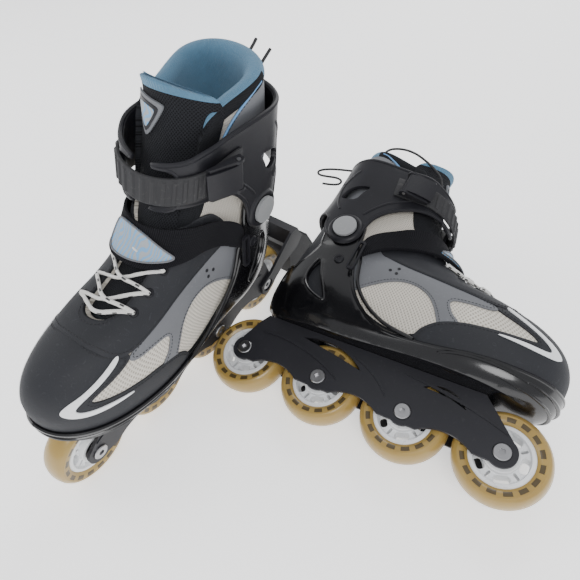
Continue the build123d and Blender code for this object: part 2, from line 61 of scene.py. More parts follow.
# Boot surface: height, heel X, toe X, half width at the ankle and at the ball, rise with growth
LEVELS = np.array([
    (85, -114, 130, 27, 38, -1.0), (92, -122, 142, 33, 44, -0.6), (106, -127, 148, 35, 47, 0.0),
    (124, -128, 149, 36, 47, 0.0), (140, -127, 142, 36, 44, 0.3), (152, -126, 127, 36, 40, 0.7),
    (161, -125, 105, 36, 36, 1.0), (168, -124, 78, 36, 33, 1.0), (177, -122, 51, 36, 32, 0.9),
    (190, -120, 29, 36, 31, 0.7), (206, -118, 15, 36, 31, 0.4), (228, -114, 5, 36, 31, 0.1),
    (260, -111, -3, 37, 32, 0.0), (300, -107, -12, 38, 33, 0.0), (350, -103, -22, 38, 33, 0.0),
], float)
TOP_LEVEL = len(LEVELS) - 1
ALONG = 88.0


# ---------------------------------------------------------------- where each skate stands
def skate_axes(side):
    """Origin and X, Y, Z of one skate, from its wheels' axes. Y is turned to the outer side."""
    spins = {j["name"]: j for j in frame["joints"]}
    first = Vector(spins[f"{side}_wheel_1_spin"]["pos_m"])
    last = Vector(spins[f"{side}_wheel_4_spin"]["pos_m"])
    along = (last - first).normalized()
    across = Vector(spins[f"{side}_wheel_1_spin"]["axis"]).normalized()
    up = along.cross(across)
    origin = (first + last) / 2 - up * AXLE_HEIGHT * MM
    return origin, along, across if side == "left" else -across, up


AXES = {side: skate_axes(side) for side in SIDES}


def to_row(side, points):
    """Points in millimetres in a skate's frame, as metres in the row frame."""
    origin, x, y, z = (np.array(v) for v in AXES[side])
    points = np.asarray(points, float) * MM
    return origin + points[..., :1] * x + points[..., 1:2] * y + points[..., 2:3] * z


# ---------------------------------------------------------------- the boot's surface
def level_rows(h):
    """Rows between the levels, on a smooth curve through them."""
    h = np.clip(np.asarray(h, float), 0, TOP_LEVEL - 1e-6)
    i = np.floor(h).astype(int)
    f = (h - i)[..., None]
    a, b = LEVELS[i], LEVELS[i + 1]
    slope_a = (b - LEVELS[np.maximum(i - 1, 0)]) / 2
    slope_b = (LEVELS[np.minimum(i + 2, TOP_LEVEL)] - a) / 2
    g = 1 - f
    return (1 + 2 * f) * g * g * a + f * g * g * slope_a + f * f * (3 - 2 * f) * b - f * f * g * slope_b


def skin(t, h, growth=0.0, spread=0.0):
    """A point of the boot's surface: t runs 0 at the heel, 3 at the toe and 6 at the heel again."""
    t, h, growth = np.broadcast_arrays(*(np.asarray(v, float) for v in (t, h, growth)))
    height, heel, toe, ankle, ball, lift = np.moveaxis(level_rows(h), -1, 0)
    growth = growth + spread * np.maximum(0.0, height - PIVOT_Z)
    t = np.mod(t, 6.0)
    side = np.where(t > 3, -1.0, 1.0)
    u = np.where(t > 3, 6 - t, t)
    taper = 1 - INNER_TAPER * np.clip(toe / 140, 0, 1)
    b = growth + ball * np.where(t > 3, taper, 1.0)
    a = ankle + growth
    heel, toe = heel - growth, toe + growth
    ankle_x = heel + 0.30 * (toe - heel)
    ball_x = heel + 0.70 * (toe - heel)
    heel_pull = heel + 0.45 * (ankle_x - heel)
    toe_pull = ball_x + 0.62 * (toe - ball_x)
    reach = (ball_x - ankle_x) / 3
    tip = -TOE_IN * np.maximum(0.0, toe - 40.0) / 100.0 * side
    k = np.minimum(np.floor(u), 2)
    f = u - k
    pick = [k == 0, k == 1, k == 2]
    xs = [(heel, ankle_x, ball_x), (heel, ankle_x + reach, toe_pull),
          (heel_pull, ball_x - reach, toe), (ankle_x, ball_x, toe)]
    ys = [(0 * a, a, b), (0.6 * a, a, b), (a, b, tip + 0.62 * b), (a, b, tip)]
    weights = [(1 - f) ** 3, 3 * f * (1 - f) ** 2, 3 * f * f * (1 - f), f ** 3]
    x = sum(w * np.select(pick, p) for w, p in zip(weights, xs))
    y = sum(w * np.select(pick, p) for w, p in zip(weights, ys))
    return np.stack([x, y * side, height + lift * growth], -1)


def skin_normal(t, h):
    """The surface's outward direction."""
    dt = skin(t + 0.01, h) - skin(t - 0.01, h)
    dh = skin(t, h + 0.05) - skin(t, h - 0.05)
    n = np.cross(dh, dt)
    return n / np.maximum(np.linalg.norm(n, axis=-1, keepdims=True), 1e-9)


FINE_H = np.linspace(0, TOP_LEVEL, 900)
FINE_Z = level_rows(FINE_H)[:, 0]
STEPS = np.hypot(np.diff(LEVELS[:, 0]), 0.55 * np.diff(LEVELS[:, 2]))
RISE = np.concatenate([[0], np.cumsum(STEPS)])


def h_of(z):
    return np.interp(z, FINE_Z, FINE_H)


def t_of(x, h):
    """t on the outer side at X on a level."""
    low, high = np.zeros_like(np.asarray(x, float)), np.full_like(np.asarray(x, float), 3.0)
    for _ in range(26):
        middle = (low + high) / 2
        below = skin(middle, h)[..., 0] < x
        low, high = np.where(below, middle, low), np.where(below, high, middle)
    return (low + high) / 2


def t_at_y(y, h):
    """t on the outer side of the front, at a distance Y from the middle."""
    low, high = np.full_like(np.asarray(h, float), 2.0), np.full_like(np.asarray(h, float), 3.0)
    for _ in range(26):
        middle = (low + high) / 2
        wide = skin(middle, h)[..., 1] > y
        low, high = np.where(wide, middle, low), np.where(wide, high, middle)
    return (low + high) / 2


def flat(th):
    """Surface coordinates as even millimetres."""
    th = np.asarray(th, float)
    return np.stack([th[:, 0] * ALONG, np.interp(th[:, 1], np.arange(TOP_LEVEL + 1), RISE)], 1)


def unflat(uv):
    return np.stack([uv[:, 0] / ALONG, np.interp(uv[:, 1], RISE, np.arange(TOP_LEVEL + 1))], 1)


def outer(points):
    """Side-view points, X and Z, as surface coordinates on the outer side."""
    points = np.asarray(points, float)
    h = h_of(points[:, 1])
    return np.stack([t_of(points[:, 0], h), h], 1)


def inner(points):
    """The same on the inner side."""
    th = outer(points)
    th[:, 0] = 6 - th[:, 0]
    return th


def mirrored(th):
    """An outer run, laid on the inner side and turned end for end."""
    return np.array(th, float)[::-1] * (-1, 1) + (6, 0)


def over_toe(th):
    """An outer run that ends at the toe, joined to its mirror image."""
    return np.vstack([th, mirrored(th)])


def round_heel(th):
    """An outer run that ends at the heel, joined to its mirror image past t = 0."""
    return np.vstack([th, mirrored(th) - (6, 0)])


def softened(points, times=2, closed=True):
    """Corners cut, so that the outline runs in soft curves."""
    for _ in range(times):
        following = np.roll(points, -1, 0) if closed else points[1:]
        start = points if closed else points[:-1]
        pairs = np.stack([0.75 * start + 0.25 * following, 0.25 * start + 0.75 * following], 1)
        cut = pairs.reshape(-1, points.shape[1])
        points = cut if closed else np.vstack([points[:1], cut[1:-1], points[-1:]])
    return points


def evenly(points, step, closed=True):
    """Points along a line at about one distance."""
    if closed:
        points = np.vstack([points, points[:1]])
    runs = np.linalg.norm(np.diff(points, axis=0), axis=1)
    at = np.concatenate([[0], np.cumsum(runs)])
    count = max(4, int(round(at[-1] / step)))
    where = np.linspace(0, at[-1], count + 1)
    if closed:
        where = where[:-1]
    return np.stack([np.interp(where, at, points[:, i]) for i in range(points.shape[1])], 1)


def inside(points, loop):
    """Which points lie inside a closed outline."""
    x, y = points[:, 0], points[:, 1]
    result = np.zeros(len(points), bool)
    for (ax, ay), (bx, by) in zip(loop, np.roll(loop, -1, 0)):
        crosses = (ay > y) != (by > y)
        with np.errstate(divide="ignore", invalid="ignore"):
            result ^= crosses & (x < (bx - ax) * (y - ay) / (by - ay) + ax)
    return result


# ---------------------------------------------------------------- shapes, as plain arrays
def shape(v, f, uv=None, m=None):
    v = np.asarray(v, float)
    uv = np.zeros((len(v), 2)) if uv is None else np.asarray(uv, float)
    return {"v": v, "f": [tuple(face) for face in f], "uv": uv, "m": m or [0] * len(f)}


def together(shapes):
    """Several shapes as one."""
    v, f, uv, m, start = [], [], [], [], 0
    for s in shapes:
        v.append(s["v"])
        uv.append(s["uv"])
        f += [tuple(i + start for i in face) for face in s["f"]]
        m += s["m"]
        start += len(s["v"])
    return {"v": np.vstack(v), "f": f, "uv": np.vstack(uv), "m": m}


def triangulated(loops, step):
    """Even triangles inside the first outline and outside the others."""
    verts, edges = [], []
    for loop in loops:
        start = len(verts)
        verts += [Vector(p) for p in loop]
        edges += [(start + i, start + (i + 1) % len(loop)) for i in range(len(loop))]
    rim = np.vstack(loops)
    low, high = rim.min(0), rim.max(0)
    rows = np.arange(low[1] + step / 2, high[1], step * 0.87)
    grid = np.array([(x + (k % 2) * step / 2, y) for k, y in enumerate(rows)
                     for x in np.arange(low[0], high[0], step)])
    if len(grid):
        keep = inside(grid, loops[0])
        for hole in loops[1:]:
            keep &= ~inside(grid, hole)
        grid = grid[keep]
    if len(grid):
        near = np.full(len(grid), 1e9)
        for p in rim:
            near = np.minimum(near, np.hypot(*(grid - p).T))
        verts += [Vector(p) for p in grid[near > step * 0.55]]
    out = delaunay_2d_cdt(verts, edges, [], 0, 1e-5)
    points = np.array([tuple(p) for p in out[0]])
    faces = np.array([f for f in out[2] if len(f) == 3])
    middle = points[faces].mean(1)
    keep = inside(middle, loops[0])
    for hole in loops[1:]:
        keep &= ~inside(middle, hole)
    return points, faces[keep]


def slab(points, faces, low, high, uv, open_edge=None):
    """Two skins over the same triangles, joined round their edges."""
    count = len(points)
    used = {}
    for a, b, c in faces:
        for e in ((a, b), (b, c), (c, a)):
            used[e] = True
    rim = [e for e in used if (e[1], e[0]) not in used]
    f = [(c, b, a) for a, b, c in faces] + [(a + count, b + count, c + count) for a, b, c in faces]
    for a, b in rim:
        if open_edge is None or not (open_edge[a] and open_edge[b]):
            f.append((a, b, b + count, a + count))
    return shape(np.vstack([high, low]), f, np.vstack([uv, uv]))


def panel(outline, low, high, holes=(), step=4.0, soft=2, spread=0.0, crown=0.0):
    """A sheet of the given thickness, cut to an outline and laid on the boot's surface."""
    loops = [evenly(softened(flat(line), soft), step * 0.7) for line in (outline, *holes)]
    points, faces = triangulated(loops, step)
    th = unflat(points)
    lift = 0.0
    if crown:
        near = np.full(len(points), 1e9)
        for p in np.vstack(loops):
            near = np.minimum(near, np.hypot(*(points - p).T))
        lift = crown * (1 - np.exp(-near / 6.0))
    top = skin(th[:, 0], th[:, 1], high + lift, spread)
    bottom = skin(th[:, 0], th[:, 1], low, spread)
    seam = (np.abs(np.abs(th[:, 0] - 3) - 3) < 1e-4) | (np.abs(th[:, 0]) < 1e-4)
    return slab(points, faces, bottom, top, points, seam if seam.sum() > 4 else None)


def edge_line(outline, growth, step=3.0, soft=2, inset=0.0, closed=True, spread=0.0):
    """The outline as a line in space, drawn in from the edge by the inset."""
    loop = evenly(softened(flat(outline), soft, closed), step, closed)
    if inset:
        ahead = np.roll(loop, -1, 0) - np.roll(loop, 1, 0)
        if not closed:
            ahead = np.gradient(loop, axis=0)
        ahead /= np.maximum(np.linalg.norm(ahead, axis=1, keepdims=True), 1e-9)
        left = np.stack([-ahead[:, 1], ahead[:, 0]], 1)
        area = np.sum(loop[:, 0] * np.roll(loop[:, 1], -1) - np.roll(loop[:, 0], -1) * loop[:, 1])
        loop = loop + left * inset * (1 if area > 0 or not closed else -1)
    th = unflat(loop)
    return skin(th[:, 0], th[:, 1], growth, spread)


def tube(line, radius, sides=8, closed=False, squash=1.0):
    """A round or oval rod along a line, with a map along and round it."""
    line = np.asarray(line, float)
    count = len(line)
    if closed:
        ahead = np.roll(line, -1, 0) - np.roll(line, 1, 0)
    else:
        ahead = np.gradient(line, axis=0)
    ahead /= np.linalg.norm(ahead, axis=1, keepdims=True)
    across = np.cross(ahead[0], (0.31, 0.17, 0.93))
    rings, uv = [], []
    run = np.concatenate([[0], np.cumsum(np.linalg.norm(np.diff(line, axis=0), axis=1))])
    radius = np.broadcast_to(np.asarray(radius, float), (count,))
    for k in range(count):
        across = across - ahead[k] * np.dot(across, ahead[k])
        across /= np.linalg.norm(across)
        other = np.cross(ahead[k], across)
        for s in range(sides):
            angle = 2 * math.pi * s / sides
            rings.append(line[k] + radius[k] * (math.cos(angle) * across
                                               + squash * math.sin(angle) * other))
            uv.append((run[k], angle * 2))
    f = []
    for k in range(count if closed else count - 1):
        a, b = k * sides, ((k + 1) % count) * sides
        f += [(a + s, a + (s + 1) % sides, b + (s + 1) % sides, b + s) for s in range(sides)]
    if not closed:
        f.append(tuple(range(sides))[::-1])
        f.append(tuple((count - 1) * sides + s for s in range(sides)))
    return shape(rings, f, uv)


def lathe(profile, centre, axis, segments=40, closed=False):
    """A profile of radius and height, turned about an axis."""
    axis = np.asarray(axis, float) / np.linalg.norm(axis)
    first = np.cross(axis, (0.13, 0.21, 0.9) if abs(axis[2]) < 0.9 else (1, 0, 0))
    first /= np.linalg.norm(first)
    second = np.cross(axis, first)
    v, uv = [], []
    for k in range(segments):
        angle = 2 * math.pi * k / segments
        for r, d in profile:
            v.append(np.asarray(centre) + axis * d + r * (math.cos(angle) * first
                                                         + math.sin(angle) * second))
            uv.append((angle, r))
    rows = len(profile)
    f = []
    for k in range(segments):
        a, b = k * rows, (k + 1) % segments * rows
        for j in range(rows if closed else rows - 1):
            n = (j + 1) % rows
            f.append((a + j, b + j, b + n, a + n))
    return shape(v, f, uv)


def grid(points, uv=None, wrap_rows=False):
    """A sheet over rows of points; with wrap_rows the last row joins the first."""
    rows, columns = points.shape[:2]
    f = []
    for r in range(rows if wrap_rows else rows - 1):
        n = (r + 1) % rows
        f += [(r * columns + c, r * columns + c + 1, n * columns + c + 1, n * columns + c)
              for c in range(columns - 1)]
    return shape(points.reshape(-1, 3), f, None if uv is None else uv.reshape(-1, 2))


def capped(sheet, rows, columns, finishes=(0, 0)):
    """A wrapped sheet with both open ends closed."""
    first = tuple(r * columns for r in range(rows))
    sheet["f"] += [first, tuple(i + columns - 1 for i in first)[::-1]]
    sheet["m"] += finishes
    return sheet


# ---------------------------------------------------------------- objects
def piece(name, side, shapes, materials, replaces="", body="chassis", bevel=0.0, angle=38,
          weld=True, levels=0, paired=True):
    """One finished mesh on one body of a skate, with the node that it stands for."""
    own = f"{side}_" if paired else ""
    name = own + name
    s = together(shapes)
    mesh = bpy.data.meshes.new(name)
    mesh.from_pydata(to_row(side, s["v"]).tolist(), [], s["f"])
    for material in materials:
        mesh.materials.append(material)
    mesh.polygons.foreach_set("material_index", s["m"])
    layer = mesh.uv_layers.new(name="surface")
    corner = np.zeros(len(mesh.loops), int)
    mesh.loops.foreach_get("vertex_index", corner)
    layer.data.foreach_set("uv", (s["uv"][corner] * MM).ravel())
    obj = bpy.data.objects.new(name, mesh)
    bpy.context.scene.collection.objects.link(obj)
    work = bmesh.new()
    work.from_mesh(mesh)
    if weld:
        bmesh.ops.remove_doubles(work, verts=work.verts, dist=WELD * MM)
    bmesh.ops.recalc_face_normals(work, faces=work.faces)
    work.to_mesh(mesh)
    work.free()
    if bevel:
        modifier = obj.modifiers.new("soft edge", "BEVEL")
        modifier.width = bevel * MM
        modifier.segments = 2
        modifier.limit_method = "ANGLE"
        modifier.angle_limit = math.radians(50)
    if levels:
        modifier = obj.modifiers.new("smooth", "SUBSURF")
        modifier.levels = modifier.render_levels = levels
    if bevel or levels:
        bake(obj)
    finish_mesh(obj, angle)
    if replaces:
        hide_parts(own + replaces)
    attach(obj, f"{side}_{body}")
    return obj


def bake(obj):
    """Puts an object's modifiers into its mesh."""
    graph = bpy.context.evaluated_depsgraph_get()
    mesh = bpy.data.meshes.new_from_object(obj.evaluated_get(graph), depsgraph=graph)
    obj.modifiers.clear()
    obj.data = mesh


def finish_mesh(obj, angle):
    for polygon in obj.data.polygons:
        polygon.use_smooth = True
    obj.data.set_sharp_from_angle(angle=math.radians(angle))


# ---------------------------------------------------------------- camera, lights and floor
def look_from_above():
    """The camera, looking down on the pair from behind the standing skate's outer side."""
    camera = bpy.data.cameras.new("camera")
    camera.lens, camera.sensor_width = 35.29, 36.0
    camera.shift_x, camera.shift_y = 0.0462, -0.0259
    obj = bpy.data.objects.new("camera", camera)
    bpy.context.scene.collection.objects.link(obj)
    right, down = Vector((0.8067, 0.5847, -0.0864)), Vector((0.3418, -0.5808, -0.7388))
    place = Matrix((right, -down, right.cross(-down))).transposed().to_4x4()
    place.translation = AXES["left"][0] + Vector((0.316901, -0.227749, 0.461433))
    obj.matrix_world = place
    bpy.context.scene.camera = obj


def soft_light(name, position, target, size, power):
    light = bpy.data.lights.new(name, "AREA")
    light.shape, light.size, light.energy = "DISK", size, power
    obj = bpy.data.objects.new(name, light)
    bpy.context.scene.collection.objects.link(obj)
    obj.location = position
    obj.rotation_euler = (Vector(target) - Vector(position)).to_track_quat("-Z", "Y").to_euler()


def studio():
    soft_light("key", (0.9, -1.1, 1.6), (0, 0, 0.12), 1.1, 24)
    soft_light("fill", (-1.5, -0.5, 1.1), (0, 0, 0.12), 1.6, 13)
    soft_light("back", (-0.2, 1.6, 1.3), (0, 0, 0.15), 1.2, 15)
    world = bpy.data.worlds.new("studio")
    world.use_nodes = True
    world.node_tree.nodes["Background"].inputs["Color"].default_value = (0.96, 0.97, 1.0, 1)
    world.node_tree.nodes["Background"].inputs["Strength"].default_value = 0.75
    bpy.context.scene.world = world
    mesh = bpy.data.meshes.new("floor")
    mesh.from_pydata([(-4, -4, 0), (4, -4, 0), (4, 4, 0), (-4, 4, 0)], [], [(0, 1, 2, 3)])
    floor = bpy.data.objects.new("floor", mesh)
    floor.location.z = -0.0004
    bpy.context.scene.collection.objects.link(floor)
    pale = bpy.data.materials.new("floor")
    pale.use_nodes = True
    pale.node_tree.nodes["Principled BSDF"].inputs["Base Color"].default_value = (0.9, 0.9, 0.9, 1)
    pale.node_tree.nodes["Principled BSDF"].inputs["Roughness"].default_value = 0.9
    pale.node_tree.nodes["Principled BSDF"].inputs["Emission Color"].default_value = (1, 1, 1, 1)
    pale.node_tree.nodes["Principled BSDF"].inputs["Emission Strength"].default_value = 0.9
    mesh.materials.append(pale)


look_from_above()
studio()


# ---------------------------------------------------------------- effects and materials
def effect(name, inputs, outputs):
    """An empty shader group with value inputs and named outputs."""
    group = bpy.data.node_groups.new(name, "ShaderNodeTree")
    group.interface.new_socket(name="Vector", in_out="INPUT", socket_type="NodeSocketVector")
    for socket, value in inputs:
        made = group.interface.new_socket(name=socket, in_out="INPUT", socket_type="NodeSocketFloat")
        made.default_value = value
    for socket in outputs:
        group.interface.new_socket(name=socket, in_out="OUTPUT", socket_type="NodeSocketFloat")
    return group, group.nodes.new("NodeGroupInput"), group.nodes.new("NodeGroupOutput")


def calc(tree, operation, a, b=None, c=None):
    """A Math node; numbers are set and sockets are linked."""
    node = tree.nodes.new("ShaderNodeMath")
    node.operation = operation
    for i, value in enumerate((a, b, c)):
        if value is None:
            continue
        if isinstance(value, (int, float)):
            node.inputs[i].default_value = value
        else:
            tree.links.new(value, node.inputs[i])
    return node.outputs[0]


def grain_group():
    """Fine pebble and slow colour change for moulded plastic, leather and rubber."""
    group, start, end = effect("grain", [("Pebbles", 900.0), ("Patches", 14.0)],
                               ["Height", "Patch", "Scuff"])
    for scale, detail, out in (("Pebbles", 3.0, "Height"), ("Patches", 4.0, "Patch")):
        noise = group.nodes.new("ShaderNodeTexNoise")
        noise.inputs["Detail"].default_value = detail
        group.links.new(start.outputs["Vector"], noise.inputs["Vector"])
        group.links.new(start.outputs[scale], noise.inputs["Scale"])
        group.links.new(noise.outputs["Fac"], end.inputs[out])
    scratch = group.nodes.new("ShaderNodeTexNoise")
    scratch.inputs["Scale"].default_value = 130.0
    scratch.inputs["Detail"].default_value = 8.0
    scratch.inputs["Distortion"].default_value = 3.0
    group.links.new(start.outputs["Vector"], scratch.inputs["Vector"])
    worn = calc(group, "MULTIPLY", calc(group, "SUBTRACT", scratch.outputs["Fac"], 0.60), 6.0)
    group.links.new(calc(group, "MINIMUM", calc(group, "MAXIMUM", worn, 0.0), 1.0),
                    end.inputs["Scuff"])
    return group


def weave_group():
    """Threads that cross, for mesh, webbing and braid, on the surface map in metres."""
    group, start, end = effect("weave", [("Pitch", 0.002), ("Lean", 0.5)], ["Height", "Hole"])
    split = group.nodes.new("ShaderNodeSeparateXYZ")
    group.links.new(start.outputs["Vector"], split.inputs["Vector"])
    u = calc(group, "DIVIDE", split.outputs["X"], start.outputs["Pitch"])
    v = calc(group, "DIVIDE", split.outputs["Y"], start.outputs["Pitch"])
    slanted = calc(group, "ADD", u, calc(group, "MULTIPLY", v, start.outputs["Lean"]))
    back = calc(group, "SUBTRACT", u, calc(group, "MULTIPLY", v, start.outputs["Lean"]))
    waves = [calc(group, "ABSOLUTE", calc(group, "SINE", calc(group, "MULTIPLY", x, math.pi)))
             for x in (slanted, back)]
    both = calc(group, "MULTIPLY", waves[0], waves[1])
    group.links.new(calc(group, "SUBTRACT", 1.0, both), end.inputs["Height"])
    hole = calc(group, "MULTIPLY", calc(group, "SUBTRACT", both, 0.45), 3.0)
    group.links.new(calc(group, "MINIMUM", calc(group, "MAXIMUM", hole, 0.0), 1.0),
                    end.inputs["Hole"])
    return group


GRAIN = grain_group()
WEAVE = weave_group()


class Finish:
    """A material under construction: its shader, its coordinates and its effects."""

    def __init__(self, name, colour, roughness, **settings):
        self.material = bpy.data.materials.new(name)
        self.material.use_nodes = True
        self.tree = self.material.node_tree
        self.shader = self.tree.nodes["Principled BSDF"]
        self.shader.inputs["Base Color"].default_value = (*colour, 1)
        self.shader.inputs["Roughness"].default_value = roughness
        for socket, value in settings.items():
            self.shader.inputs[socket.replace("_", " ")].default_value = value
        self.coordinates = self.tree.nodes.new("ShaderNodeTexCoord")
        self.colour, self.roughness = colour, roughness

    def add(self, group, source, **values):
        node = self.tree.nodes.new("ShaderNodeGroup")
        node.node_tree = group
        self.tree.links.new(self.coordinates.outputs[source], node.inputs["Vector"])
        for socket, value in values.items():
            node.inputs[socket].default_value = value
        return node

    def mix(self, factor, first, second):
        node = self.tree.nodes.new("ShaderNodeMix")
        node.data_type = "RGBA"
        self.tree.links.new(factor, node.inputs["Factor"])
        for i, value in ((6, first), (7, second)):
            if isinstance(value, tuple):
                node.inputs[i].default_value = (*value, 1)
            else:
                self.tree.links.new(value, node.inputs[i])
        return node.outputs[2]

    def paint(self, socket):
        self.tree.links.new(socket, self.shader.inputs["Base Color"])

    def rough(self, factor, low, high):
        span = self.tree.nodes.new("ShaderNodeMapRange")
        self.tree.links.new(factor, span.inputs["Value"])
        span.inputs["To Min"].default_value, span.inputs["To Max"].default_value = low, high
        self.tree.links.new(span.outputs[0], self.shader.inputs["Roughness"])

    def bump(self, height, depth, strength=1.0):
        node = self.tree.nodes.new("ShaderNodeBump")
        node.inputs["Distance"].default_value = depth
        node.inputs["Strength"].default_value = strength
        self.tree.links.new(height, node.inputs["Height"])
        previous = self.shader.inputs["Normal"].links
        if previous:
            self.tree.links.new(previous[0].from_socket, node.inputs["Normal"])
        self.tree.links.new(node.outputs[0], self.shader.inputs["Normal"])


def plastic(name, colour, worn, roughness, pebbles=900.0, depth=0.00006, **settings):
    """Moulded plastic: fine grain, faint patches and light scuffs."""
    f = Finish(name, colour, roughness, **settings)
    grain = f.add(GRAIN, "Object", Pebbles=pebbles)
    tone = f.mix(grain.outputs["Patch"], tuple(c * 0.8 for c in colour), tuple(c * 1.25 for c in colour))
    f.paint(f.mix(grain.outputs["Scuff"], tone, worn))
    f.rough(grain.outputs["Patch"], roughness * 0.8, min(1.0, roughness * 1.25))
    f.bump(grain.outputs["Height"], depth)
    return f.material


def cloth(name, colour, hole, pitch, lean, roughness=0.9, depth=0.0004, **settings):
    """Woven or knitted cloth on the surface map."""
    f = Finish(name, colour, roughness, **settings)
    weave = f.add(WEAVE, "UV", Pitch=pitch, Lean=lean)
    grain = f.add(GRAIN, "Object", Pebbles=2500.0, Patches=25.0)
    tone = f.mix(grain.outputs["Patch"], tuple(c * 0.88 for c in colour), tuple(min(1, c * 1.1)
                                                                             for c in colour))
    f.paint(f.mix(weave.outputs["Hole"], tone, hole))
    f.bump(weave.outputs["Height"], depth)
    f.bump(grain.outputs["Height"], 0.00012)
    return f.material


def velour(name, colour):
    """Brushed pile with a soft sheen and a faint rib."""
    f = Finish(name, colour, 1.0, Sheen_Weight=0.3, Sheen_Roughness=0.4)
    f.shader.inputs["Sheen Tint"].default_value = (0.75, 0.88, 1, 1)
    grain = f.add(GRAIN, "Object", Pebbles=1400.0, Patches=40.0)
    weave = f.add(WEAVE, "UV", Pitch=0.0022, Lean=0.0)
    f.paint(f.mix(grain.outputs["Patch"], tuple(c * 0.78 for c in colour), tuple(min(1, c * 1.2)
                                                                             for c in colour)))
    f.bump(weave.outputs["Height"], 0.0003)
    f.bump(grain.outputs["Height"], 0.0005)
    return f.material


def metal(name, colour, roughness):
    f = Finish(name, colour, roughness, Metallic=1.0)
    grain = f.add(GRAIN, "Object", Pebbles=1600.0, Patches=60.0)
    f.paint(f.mix(grain.outputs["Patch"], tuple(c * 0.85 for c in colour), colour))
    f.rough(grain.outputs["Patch"], roughness * 0.6, roughness * 1.4)
    f.bump(grain.outputs["Height"], 0.00002)
    return f.material


def urethane():
    """Amber tyre: the map holds angle and radius, and dark cells show through the sides."""
    f = Finish("amber urethane", (0.36, 0.25, 0.07), 0.32, Subsurface_Weight=0.25, Coat_Weight=0.12)
    f.shader.inputs["Subsurface Radius"].default_value = (0.006, 0.004, 0.002)
    split = f.tree.nodes.new("ShaderNodeSeparateXYZ")
    f.tree.links.new(f.coordinates.outputs["UV"], split.inputs["Vector"])
    turn = calc(f.tree, "MULTIPLY", split.outputs["X"], 16 / (2 * math.pi * MM))
    place = calc(f.tree, "ABSOLUTE", calc(f.tree, "SUBTRACT", calc(f.tree, "FRACT", turn), 0.5))
    across = calc(f.tree, "LESS_THAN", place, 0.30)
    r = calc(f.tree, "ABSOLUTE", calc(f.tree, "SUBTRACT", split.outputs["Y"], 29.6 * MM))
    cell = calc(f.tree, "MULTIPLY", across, calc(f.tree, "LESS_THAN", r, 1.9 * MM))
    grain = f.add(GRAIN, "Object", Pebbles=500.0, Patches=22.0)
    tone = f.mix(grain.outputs["Patch"], (0.42, 0.29, 0.085), (0.31, 0.20, 0.055))
    f.paint(f.mix(cell, tone, (0.085, 0.06, 0.025)))
    f.rough(grain.outputs["Scuff"], 0.28, 0.6)
    f.bump(calc(f.tree, "MULTIPLY", cell, -1.0), 0.0008)
    f.bump(grain.outputs["Height"], 0.00005)
    return f.material


def braid():
    """Round white lace with pairs of dark flecks."""
    f = Finish("white lace braid", (0.80, 0.79, 0.76), 0.85, Sheen_Weight=0.2)
    split = f.tree.nodes.new("ShaderNodeSeparateXYZ")
    f.tree.links.new(f.coordinates.outputs["UV"], split.inputs["Vector"])
    run = calc(f.tree, "FRACT", calc(f.tree, "DIVIDE", split.outputs["X"], 0.011))
    near = calc(f.tree, "LESS_THAN", calc(f.tree, "ABSOLUTE", calc(f.tree, "SUBTRACT", run, 0.5)), 0.16)
    ring = calc(f.tree, "SINE", calc(f.tree, "MULTIPLY", split.outputs["Y"], 1.0 / MM))
    fleck = calc(f.tree, "MULTIPLY", near, calc(f.tree, "GREATER_THAN", ring, 0.55))
    weave = f.add(WEAVE, "UV", Pitch=0.0012, Lean=0.6)
    tone = f.mix(weave.outputs["Hole"], (0.82, 0.81, 0.78), (0.55, 0.54, 0.52))
    f.paint(f.mix(fleck, tone, (0.05, 0.05, 0.05)))
    f.bump(weave.outputs["Height"], 0.0003)
    return f.material


def printed_patch():
    """Grey label with a loose blue swirl."""
    f = Finish("printed patch", (0.30, 0.34, 0.38), 0.6)
    wave = f.tree.nodes.new("ShaderNodeTexWave")
    wave.inputs["Scale"].default_value = 60.0
    wave.inputs["Distortion"].default_value = 14.0
    wave.inputs["Detail"].default_value = 1.0
    f.tree.links.new(f.coordinates.outputs["UV"], wave.inputs["Vector"])
    mask = calc(f.tree, "GREATER_THAN", wave.outputs["Fac"], 0.62)
    f.paint(f.mix(mask, (0.33, 0.36, 0.39), (0.16, 0.36, 0.60)))
    f.bump(wave.outputs["Fac"], 0.0002)
    return f.material


MESH = cloth("beige spacer mesh", (0.66, 0.62, 0.55), (0.36, 0.33, 0.28), 0.0026, 0.6)
CHARCOAL = plastic("charcoal synthetic leather", (0.019, 0.020, 0.024), (0.035, 0.036, 0.042), 0.6,
                   pebbles=1500.0, depth=0.00018, Specular_IOR_Level=0.3)
GREY = plastic("grey synthetic leather", (0.135, 0.14, 0.152), (0.18, 0.185, 0.20), 0.65,
               pebbles=1500.0, depth=0.00018)
SILVER = plastic("silver-white stripe", (0.80, 0.81, 0.82), (0.6, 0.6, 0.62), 0.38)
# Blue velour: its own blue darkened further to paint the shade that falls inside the collar and on the
# tongue's back
SHADED_BLUE = velour("blue velour with painted shade", (0.085, 0.19, 0.29))
BLACK_MESH = cloth("black spacer mesh", (0.016, 0.017, 0.020), (0.004, 0.004, 0.005), 0.0019, 0.6,
                   Specular_IOR_Level=0.2)
WEBBING = cloth("black webbing", (0.009, 0.009, 0.012), (0.003, 0.003, 0.004), 0.0024, 0.0,
                Specular_IOR_Level=0.2)
SHELL = plastic("glossy black shell", (0.004, 0.004, 0.005), (0.010, 0.010, 0.011), 0.2,
                pebbles=400.0, depth=0.00002, Coat_Weight=0.3)
SATIN = plastic("satin black plastic", (0.010, 0.010, 0.013), (0.016, 0.016, 0.019), 0.42,
                Specular_IOR_Level=0.3)
FRAME = plastic("dark grey frame nylon", (0.018, 0.018, 0.022), (0.028, 0.028, 0.032), 0.44,
                Specular_IOR_Level=0.35)
RUBBER = plastic("black rubber", (0.018, 0.018, 0.02), (0.05, 0.05, 0.05), 0.72)
PALE = plastic("light grey plastic", (0.24, 0.245, 0.25), (0.30, 0.30, 0.30), 0.45)
